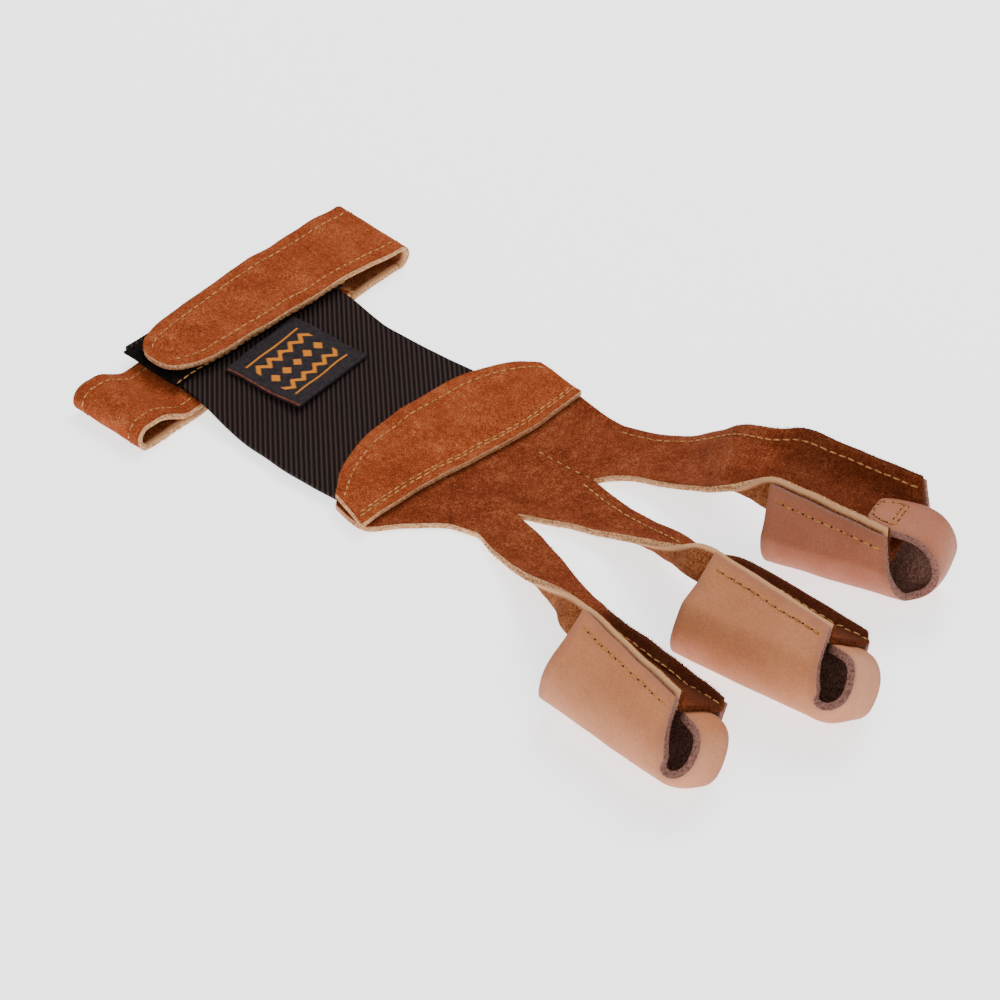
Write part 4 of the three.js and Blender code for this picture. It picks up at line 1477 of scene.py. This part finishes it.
@dataclass
class FingerStall:
    """One leather stall: a wrapped rectangle whose tongue curls over the fingertip."""

    finger: Finger
    straight_steps: int = 24
    round_steps: int = 9
    tongue_steps: int = 14
    rows: int = 52
    tongue_rows: int = 44
    seam_inset: float = 3.2
    tongue_seam_inset: float = 2.2
    thread_radius: float = 0.26
    wrap: Grid = field(default_factory=list)
    tongue: Grid = field(default_factory=list)

    def wing(self, tongue_edge: float) -> list[tuple[float, float]]:
        """Returns one wing's columns: their girth and where the leather ends there."""
        way = 1 if tongue_edge > 0 else -1
        wing, root = self.finger.half_girth(1), abs(tongue_edge)
        length = self.finger.length
        straight = [(way * mix(wing, root + STALL.fillet, t), length - STALL.sweep * (1 - t))
                    for t in shares(self.straight_steps)]
        fillet = [(way * (root + STALL.fillet * (1 - math.sin(t * math.pi / 2))),
                   length + STALL.fillet * (1 - math.cos(t * math.pi / 2)))
                  for t in shares(self.round_steps)[1:]]
        return [*straight, *fillet]

    def mouth_skew(self, share: float) -> float:
        """Returns how far the mouth's edge stands back at a share of the half girth."""
        finger = self.finger
        slant = finger.slant_share * STALL.length * max(-share, 0)
        return slant + finger.notch_share * STALL.notch * math.sin(math.pi * min(abs(share), 1))

    def mesh(self) -> None:
        """Works out the wrapped grid and the tongue's grid."""
        finger = self.finger
        near, far = self.wing(finger.near), self.wing(finger.far)
        start = finger.length + STALL.fillet
        inner = [(mix(finger.near, finger.far, t), start) for t in shares(self.tongue_steps)[1:-1]]
        columns = [*near, *inner, *reversed(far)]
        wing = finger.half_girth(1)
        widen = finger.half_girth(0) / wing
        for t in shares(self.rows):
            row = []
            for girth, end in columns:
                s = min(t * end / finger.length, 1.0)
                run = t * end + self.mouth_skew(girth / wing) * (1 - s)
                row.append(finger.point(run, girth * mix(widen, 1, s)))
            self.wrap.append(row)
        first = len(near) - 1
        self.tongue.append(self.wrap[-1][first:first + self.tongue_steps + 1])
        total = (finger.length - STALL.curl_lead + math.pi * finger.curl * STALL.curl_radius
                 + finger.tail_share * STALL.tongue_tail)
        middle, half = (finger.near + finger.far) / 2, (finger.far - finger.near) / 2
        for t in shares(self.tongue_rows)[1:]:
            run = mix(start, total, 1 - (1 - t) ** 1.5)
            left = min((total - run) / half, 1.0)
            width = half * mix(STALL.tongue_tip, 1, math.sqrt(1 - (1 - left) ** 2))
            rise = smoothstep(run, finger.length + STALL.curl_radius, total - STALL.tongue_tail / 4)
            self.tongue.append([self.tucked(finger.point(run, middle + mix(-width, width, v)), rise)
                                for v in shares(self.tongue_steps)])

    def tucked(self, spot: Vector, rise: float) -> Vector:
        """Lifts a point of the tongue until it meets the end of the finger strap above it.

        Args:
            spot: The point.
            rise: The share of the way to the strap.

        Returns:
            The lifted point; a tongue that lies over its strap stays as it is.
        """
        finger = self.finger
        if finger.tail_share > 1:
            return spot
        section = finger.trough(finger.length - STALL.sweep + SEAM.overhang)
        near, far = section[3], section[6]
        _, across, up = finger.axes(1)
        share = min(max((spot - near).dot(across) / (far - near).dot(across), -0.3), 1.2)
        room = (BODY.thick + STALL.thick) / 2 + GAP / 2
        return spot + up * (max((near.lerp(far, share) - spot).dot(up) - room, 0.0) * rise)

    def outward(self, spot: Vector) -> Vector:
        """Returns the way from the stall's hollow to a point."""
        finger = self.finger
        ahead, _, up = finger.axes(0.5)
        axis = finger.mouth + Vector((0, 0, finger.radius(0.5) + STALL.thick / 2))
        axis += ahead * min(max((spot - axis).dot(ahead), 0), finger.length)
        return spot - axis - up * 2

    def seams(self) -> list[Seam]:
        """Returns the seams along both walls, and the index tongue's own."""
        height = STALL.thick / 2
        flip = self.grid_turned()
        result = [Seam(edge_line(self.wrap, self.seam_inset, from_end, 0.05, 0.93), height,
                       pitch=2.6, length=2.0, radius=self.thread_radius, flip=flip)
                  for from_end in (False, True)]
        if self.finger.tail_share > 1:
            result.extend(Seam(line, height, pitch=2.2, length=1.75, radius=self.thread_radius, flip=flip)
                          for line in self.tongue_lines())
        return result

    def tongue_lines(self) -> list[list[Spot]]:
        """Returns the lines sewn on a tongue that lies over its strap: a U and two rows across."""
        last, steps = len(self.tongue) - 1, self.tongue_steps
        start = round(last * 0.62)
        near, far = (edge_line(self.tongue, self.tongue_seam_inset, from_end, start / last, 0.93)
                     for from_end in (False, True))
        across = [[(self.tongue[row][c], grid_normal(self.tongue, row, c)) for c in range(2, steps - 1)]
                  for row in (start, start + 2)]
        return [[*near, *reversed(far)], *across]

    def grid_turned(self) -> bool:
        """Tells whether the wrapped grid's own normals point into the stall."""
        r, c = len(self.wrap) // 2, len(self.wrap[0]) // 4
        return grid_normal(self.wrap, r, c).dot(self.outward(self.wrap[r][c])) < 0

    def dress(self, glove: Glove) -> None:
        """Makes the leather, its stitches and dark blobs of painted shade at the needle holes."""
        name = self.finger.name
        leather = RED_LEATHER if name == "index" else LEATHER
        sheet = Sheet(f"{name}_stall_leather", [self.wrap, self.tongue], STALL.thick,
                      (leather, LEATHER_BACK, LEATHER_CUT), self.outward)
        glove.add(sheet.build(glove.origin), [f"{name}_stall"])
        seams = self.seams()
        glove.add(Stitching(f"{name}_stall_stitches", seams, BROWN_THREAD).build(glove.origin))
        # painted shade: small dark blobs at the stitches' ends stand for the shaded needle holes
        holes = [replace(seam, offset=0.5, length=0.6, radius=0.22, height=seam.height - 0.06)
                 for seam in seams]
        glove.add(Stitching(f"{name}_stall_needle_holes", holes, NEEDLE_HOLE_SHADE).build(glove.origin))


@dataclass
class KnucklePatch:
    """The half-moon of suede over the elastic's end."""

    step_before: float = 1
    step_after: float = 8
    columns: int = 96
    rows: int = 34
    grid: Grid = field(default_factory=list)

    def mesh(self) -> None:
        """Works out the half-moon, which steps down past the elastic's end."""
        curves = [Curve([BODY.point(along, side, 0) for along, side in edge])
                  for edge in (WRIST_EDGE, PATCH_CUT_EDGE, PATCH_NEAR_EDGE, PATCH_FAR_EDGE)]
        self.grid = CoonsPatch(*(curve.point_at for curve in curves)).grid(self.columns, self.rows)
        for row in self.grid:
            for spot in row:
                step = smoothstep(spot.x, Places.elastic_front - self.step_before,
                                  Places.elastic_front + self.step_after)
                spot.z = mix(Layers.patch_high, Layers.patch_low, step)

    def dress(self, glove: Glove) -> None:
        """Makes the patch, its seams and its frayed cut edge."""
        sheet = Sheet("suede_knuckle_patch", [self.grid], BODY.thick, (SUEDE, SUEDE_BACK, SUEDE_CUT), upward)
        glove.add(sheet.build(glove.origin), ["knuckle_patch"])
        across = turned(self.grid)
        height = BODY.thick / 2
        flip = grid_normal(across, self.columns // 2, self.rows // 2).z < 0
        seams = [Seam(edge_line(across, 3.6, False, 0.02, 0.98), height, flip=flip),
                 Seam(edge_line(across, 2.2, True, 0.01, 0.99), height, flip=flip),
                 Seam(edge_line(across, 3.1, True, 0.02, 0.98), height, flip=flip)]
        glove.add(Stitching("knuckle_patch_stitches", seams, PALE_THREAD).build(glove.origin))
        roots = rim_roots(self.grid, BODY.thick, FIBRES_PER_MM, "patch")
        glove.add(Fibres("knuckle_patch_frayed_edges", roots, NAP_FIBRE).build(glove.origin))


@dataclass
class WristStrap:
    """The wrist strap: one strip folded over at both ends, closed by its tongue."""

    across_steps: int = 28
    run_steps: int = 90
    fold_steps: int = 18
    tongue_steps: int = 110
    upper_share: float = 0.6
    seam_inset: float = 3.4
    heart_inset: float = 6
    heart_height: float = 3.0
    frayed_from: int = 15
    fibres_a_step: int = 14
    grid: Grid = field(default_factory=list)

    @staticmethod
    def drift(y: float) -> float:
        """Returns the sideways drift of the strap's lower runs at a place across the glove."""
        t = smoothstep(y, Places.strap_left, Places.strap_right)
        return STRAP.width * mix(STRAP.skew_left, STRAP.skew_right, t)

    def path(self) -> list[Vector]:
        """Returns the folded strap's middle line, from its cut end to its tongue."""
        bulge_top = Layers.strap_bottom + STRAP.thick + STRAP.bulge
        left_radius = (bulge_top - Layers.strap_bottom) / 2
        right_radius = (STRAP.fold - STRAP.thick) / 2
        left_centre = Places.strap_left + left_radius + STRAP.thick / 2
        right_centre = Places.strap_right - right_radius - STRAP.thick / 2
        middle = Places.strap_middle
        result = []
        for t in shares(self.run_steps)[:-1]:
            y = mix(Places.inner_end, left_centre, t)
            end = -Places.strap_left - STRAP.bulge_end
            lift = smoothstep(-y, end - STRAP.bulge_run, end)
            result.append(Vector((middle + self.drift(y), y, mix(Layers.strap_inner, bulge_top, lift))))
        for t in shares(self.fold_steps):
            y = left_centre - left_radius * math.sin(t * math.pi)
            z = Layers.strap_bottom + left_radius * (1 + math.cos(t * math.pi))
            result.append(Vector((middle + self.drift(y), y, z)))
        for t in shares(self.run_steps)[1:-1]:
            y = mix(left_centre, right_centre, t)
            result.append(Vector((middle + self.drift(y), y, Layers.strap_bottom)))
        for t in shares(self.fold_steps):
            y = right_centre + right_radius * math.sin(t * math.pi)
            z = Layers.strap_bottom + right_radius * (1 - math.cos(t * math.pi))
            result.append(Vector((middle + self.drift(right_centre) * (1 - t), y, z)))
        for t in shares(self.tongue_steps)[1:]:
            y = mix(right_centre, Places.tongue_end, 1 - (1 - t) ** 1.25)
            drop = smoothstep(y, Places.inner_end + GAP, right_centre)
            result.append(Vector((middle, y, mix(Layers.strap_tongue, STRAP.fold - STRAP.thick / 2, drop))))
        return result

    def mesh(self) -> None:
        """Works out the strap's grid along its folded path."""
        path = self.path()
        rounding = STRAP.width * STRAP.rounding
        for i, centre in enumerate(path):
            before, after = path[max(i - 1, 0)], path[min(i + 1, len(path) - 1)]
            tangent = (after - before).normalized()
            across = (Vector((1, 0, 0)) - tangent * tangent.x).normalized()
            upper = i > len(path) * self.upper_share
            left = min(abs(centre.y - Places.tongue_end) / rounding, 1.0) if upper else 1.0
            half = STRAP.width / 2 * mix(STRAP.tip, 1, math.sqrt(1 - (1 - left) ** 2))
            taper_end = Places.tongue_end + STRAP.taper_run
            taper = 1 - smoothstep(centre.y, Places.tongue_end, taper_end) if upper else 0
            height = (centre.z - Layers.strap_bottom) / (STRAP.fold - STRAP.thick)
            hump = smoothstep(centre.y, Places.strap_right - STRAP.hump_run, Places.strap_right - STRAP.fold)
            row = []
            for v in (mix(-1, 1, u) for u in shares(self.across_steps)):
                toward_wrist = (1 - v) / 2
                point = centre + across * (v * half + STRAP.taper * taper * toward_wrist)
                if upper:
                    point.z += STRAP.hump * hump * height * toward_wrist
                row.append(point)
            self.grid.append(row)

    def outward(self, spot: Vector) -> Vector:
        """Returns the way out of the flattened ring at a point."""
        left, right = Places.strap_left + self.heart_inset, Places.strap_right - self.heart_inset
        return spot - Vector((spot.x, min(max(spot.y, left), right), self.heart_height))

    def dress(self, glove: Glove) -> None:
        """Makes the strap, its seams and its frayed edges."""
        sheet = Sheet("suede_wrist_strap", [self.grid], STRAP.thick, (SUEDE, SUEDE_BACK, SUEDE_CUT),
                      self.outward, edge_round=0)
        glove.add(sheet.build(glove.origin), ["wrist_strap"])
        last = len(self.grid) - 1
        middle = self.grid[last // 2][self.across_steps // 2]
        flip = grid_normal(self.grid, last // 2, self.across_steps // 2).dot(self.outward(middle)) < 0
        height = STRAP.thick / 2
        seams = [Seam(edge_line(self.grid, self.seam_inset, from_end, 0.02, 0.975), height, flip=flip)
                 for from_end in (False, True)]
        glove.add(Stitching("wrist_strap_stitches", seams, PALE_THREAD).build(glove.origin))
        frayed = self.grid[0][self.frayed_from:]
        end = [(point.lerp(after, 0.3), Vector((0.3, 1.0, 0.5)))
               for point, after in zip(frayed, frayed[1:]) for _ in range(self.fibres_a_step)]
        tuft = Fibres("wrist_strap_frayed_end", end, PALE_FIBRE, length=2.2, radius=0.1)
        glove.add(tuft.build(glove.origin))
        roots = rim_roots(self.grid, STRAP.thick, FIBRES_PER_MM, "strap")
        glove.add(Fibres("wrist_strap_frayed_edges", roots, NAP_FIBRE).build(glove.origin))


@dataclass
class ElasticBand:
    """The ribbed elastic between the patch and the strap, with the tapes and label sewn on it."""

    columns: int = 60
    rows: int = 88
    edge_round: float = 0.2
    grid: Grid = field(default_factory=list)

    @staticmethod
    def height(x: float, y: float) -> float:
        """Returns the band's height: on the strap, sagging, then on the body."""
        strap_front = Places.strap_front + WristStrap.drift(y)
        leave = smoothstep(x, strap_front + GAP, strap_front + ELASTIC.descent)
        rise_end = BODY.back - ELASTIC.thick
        rise = smoothstep(x, rise_end - ELASTIC.rise, rise_end)
        return mix(mix(Layers.elastic_wrist, ELASTIC.sag, leave), Layers.elastic_hand, rise)

    def mesh(self) -> None:
        """Works out the band's bowed grid."""
        near, far = (Curve([Vector((Places.elastic_back + row[0] * ELASTIC.length,
                                    row[side] * ELASTIC.width, 0)) for row in ELASTIC_EDGES])
                     for side in (1, 2))
        for t in shares(self.rows):
            a, b = near.point(t), far.point(t)
            row = [a.lerp(b, u) for u in shares(self.columns)]
            for spot in row:
                spot.z = self.height(spot.x, spot.y)
            self.grid.append(row)

    def dress(self, glove: Glove) -> None:
        """Makes the band."""
        sheet = Sheet("elastic_band_weave", [self.grid], ELASTIC.thick, (ELASTIC_WEAVE,) * 3, upward,
                      edge_round=self.edge_round)
        piece = glove.add(sheet.build(glove.origin), ["elastic_band"])
        ELASTIC.length * MM


@dataclass
class Fastener:
    """The loop tape on the strap's inner end and the hook tape under its tongue."""

    along_steps: int = 20
    across_steps: int = 60
    edge_round: float = 0.2
    fuzz_count: int = 2600
    fuzz_jitter: float = 0.6

    def strip(self, front: float, width: float, start: float, length: float, height: float) -> Grid:
        """Returns a flat strip's grid.

        Args:
            front: Its edge towards the fingers.
            width: Its width along the glove.
            start: Where it starts across the glove.
            length: Its length across the glove.
            height: Its middle height.

        Returns:
            Rows of points across the glove.
        """
        return [[Vector((front - width + u * width, start + v * length, height))
                 for v in shares(self.across_steps)] for u in shares(self.along_steps)]

    def dress(self, glove: Glove) -> None:
        """Makes both tapes, the loop pile and the seam along its edge."""
        loop = self.strip(Places.strap_front - TAPE.loop_inset, TAPE.loop_width,
                          Places.inner_end - TAPE.loop_length, TAPE.loop_length, Layers.loop_tape)
        start = Places.tongue_end + STRAP.width * STRAP.tip
        hook = self.strip(Places.strap_front - TAPE.hook_inset, TAPE.hook_width, start,
                          Places.inner_end - start, Layers.hook_tape)
        for name, grid, node, under_it, size in (
                ("loop_tape_pile", loop, "loop_tape", "elastic_band",
                 (TAPE.loop_width, TAPE.loop_length)),
                ("hook_tape_strip", hook, "hook_tape", "loop_tape",
                 (TAPE.hook_width, Places.inner_end - start))):
            sheet = Sheet(name, [grid], TAPE.thick, (PILE,) * 3, upward, edge_round=self.edge_round)
            piece = glove.add(sheet.build(glove.origin), [node])
        across = turned(loop)
        seam = Seam([(point, Vector((0, 0, 1))) for point, _ in edge_line(across, 0.35, True, 0.0, 1.0)],
                    TAPE.thick / 2)
        glove.add(Stitching("loop_tape_stitches", [seam], PALE_THREAD).build(glove.origin))
        under = [(point, Vector((1.0, 0, 0))) for point, _ in edge_line(turned(hook), 0.2, True, 0.05, 1.0)]
        glove.add(Stitching("hook_tape_stitches", [Seam(under, 0.2)], PALE_THREAD).build(glove.origin))
        dice = random.Random("pile")
        roots = []
        for _ in range(self.fuzz_count):
            row, column = dice.randrange(len(loop)), dice.randrange(len(loop[0]))
            jitter = Vector((dice.uniform(-self.fuzz_jitter, self.fuzz_jitter),
                             dice.uniform(-self.fuzz_jitter, self.fuzz_jitter), TAPE.thick / 2))
            roots.append((loop[row][column] + jitter, Vector((0, 0, 0.5))))
        glove.add(Fibres("loop_tape_fuzz", roots, PILE, length=1.1).build(glove.origin))


@dataclass
class WovenLabel:
    """The folded woven label, which carries a plain traditional zigzag."""

    columns: int = 110
    rows: int = 96
    edge_round: float = 0.2
    grid: Grid = field(default_factory=list)

    def mesh(self) -> None:
        """Works out the label's grid, its free edge a little lifted."""
        back = Places.strap_middle + STRAP.width / 2 + LABEL.offset
        turn = math.radians(LABEL.turn)
        above = (ELASTIC.thick + LABEL.thick) / 2 + GAP
        for u in shares(self.rows):
            row = []
            for v in shares(self.columns):
                along, across = u * LABEL.length, (v - 0.5) * LABEL.width
                x = back + along * math.cos(turn) - across * math.sin(turn)
                y = LABEL.side + along * math.sin(turn) + across * math.cos(turn)
                z = ElasticBand.height(x, y) + above + LABEL.lift * u * u * (1 - v)
                row.append(Vector((x, y, z)))
            self.grid.append(row)

    @staticmethod
    def figure(_: int, across: float, along: float) -> float:
        """Tells where the orange thread shows: two zigzags with a row of small lozenges between.

        Args:
            across: The share of the label's width.
            along: The share of its length.

        Returns:
            1 on the figure and 0 on the ground.
        """
        x, y = (across - 0.5) * LABEL.width, (along - 0.5) * LABEL.length
        pitch, swing, stroke, reach = 4.2, 2.0, 0.72, 10.5
        zigzag_place, lozenge_half, border_place, border_half = 4.7, 1.5, 7.9, 0.3
        if abs(x) > reach:
            return 0.0
        wave = abs((x / pitch) % 1 - 0.5) * 2
        zigzag = min(abs(y - way * (zigzag_place + (wave - 0.5) * swing)) for way in (-1, 1))
        lozenge = abs((x / pitch + 0.5) % 1 - 0.5) * pitch + abs(y)
        border = abs(abs(y) - border_place)
        return 1.0 if zigzag < stroke or lozenge < lozenge_half or border < border_half else 0.0

    def dress(self, glove: Glove) -> None:
        """Makes the label and the rust-coloured thread along its near edge."""
        sheet = Sheet("woven_label_ribbon", [self.grid], LABEL.thick, (RIBBON,) * 3, upward,
                      edge_round=self.edge_round, maps={"figure": self.figure})
        piece = glove.add(sheet.build(glove.origin), ["woven_label"])
        LABEL.length * MM
        line = [(point, Vector((0, 0, 1))) for point, _ in edge_line(self.grid, 0.25, False, 0.03, 0.98)]
        seam = Seam(line, LABEL.thick * 0.35, pitch=0.8, length=1.0, radius=0.3)
        glove.add(Stitching("woven_label_edge_thread", [seam], RUST_THREAD).build(glove.origin))


# Studio


@dataclass(frozen=True)
class Studio:
    """A white table top, soft light and the camera at the photograph's angle."""

    azimuth: float = 43.2
    elevation: float = 39.7
    distance_mm: float = 850.0
    sensor_mm: float = 36.0
    lens_mm: float = 125.46
    nearest_m: float = 0.01
    table_m: float = 2.0
    surround: float = 0.62

    def camera(self, target: Vector) -> None:
        """Places the camera.

        Args:
            target: The point it looks at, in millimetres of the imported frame.
        """
        az, el = math.radians(self.azimuth), math.radians(self.elevation)
        back = Vector((math.sin(az) * math.cos(el), -math.cos(az) * math.cos(el), math.sin(el)))
        right = Vector((math.cos(az), math.sin(az), 0))
        up = back.cross(right)
        data = bpy.data.cameras.new("camera")
        data.sensor_width = self.sensor_mm
        data.lens = self.lens_mm
        data.clip_start = self.nearest_m
        camera = bpy.data.objects.new("camera", data)
        place = Matrix((right, up, back)).transposed().to_4x4()
        place.translation = (target + back * self.distance_mm) * MM
        camera.matrix_world = place
        bpy.context.collection.objects.link(camera)
        bpy.context.scene.camera = camera

    def floor(self) -> None:
        """Lays the white table top."""
        shape = bmesh.new()
        bmesh.ops.create_grid(shape, x_segments=1, y_segments=1, size=self.table_m)
        finish = GlowingCard("white_light_table", roughness=0.9, specular=0.05, colour="#F4F4F4")
        floor = as_object(shape, "table_top", [finish.material()])

    def lights(self) -> None:
        """Hangs one large soft light, a fill and an even white surround."""
        for name, spot, size, power in (
                ("key_light", (-0.25, 0.7, 1.1), 0.7, 14.0),
                ("fill_light", (0.6, -0.9, 0.7), 0.9, 7.0)):
            data = bpy.data.lights.new(name, "AREA")
            data.size = size
            data.energy = power
            light = bpy.data.objects.new(name, data)
            light.location = spot
            light.rotation_euler = (-Vector(spot)).to_track_quat("-Z", "Y").to_euler()
            bpy.context.collection.objects.link(light)
        world = bpy.data.worlds.new("white_surround")
        world.use_nodes = True
        world.node_tree.nodes["Background"].inputs["Color"].default_value = (1, 1, 1, 1)
        world.node_tree.nodes["Background"].inputs["Strength"].default_value = self.surround
        bpy.context.scene.world = world


def working_origin() -> Vector:
    """Returns the working frame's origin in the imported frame, read off the loop tape's corner."""
    high = Vector(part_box("loop_tape")[1]) / MM
    own = Vector((Places.strap_front - TAPE.loop_inset, Places.inner_end, Layers.loop_tape + TAPE.thick / 2))
    return high - own


def main() -> None:
    """Builds the glove and the studio."""
    logging.basicConfig(level=logging.INFO, format="%(name)s: %(message)s")
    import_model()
    origin = working_origin()
    LOG.info("working origin in the packed frame: %.3f %.3f %.3f mm", *origin)
    studio = Studio()
    studio.camera(origin)
    glove = Glove(origin)
    pieces = [HandPiece(), *(FingerStall(finger) for finger in FINGERS), KnucklePatch(), WristStrap(),
              ElasticBand(), WovenLabel()]
    for piece in pieces:
        piece.mesh()
        piece.dress(glove)
    Fastener().dress(glove)
    studio.floor()
    studio.lights()


if __name__ == "__main__":
    main()
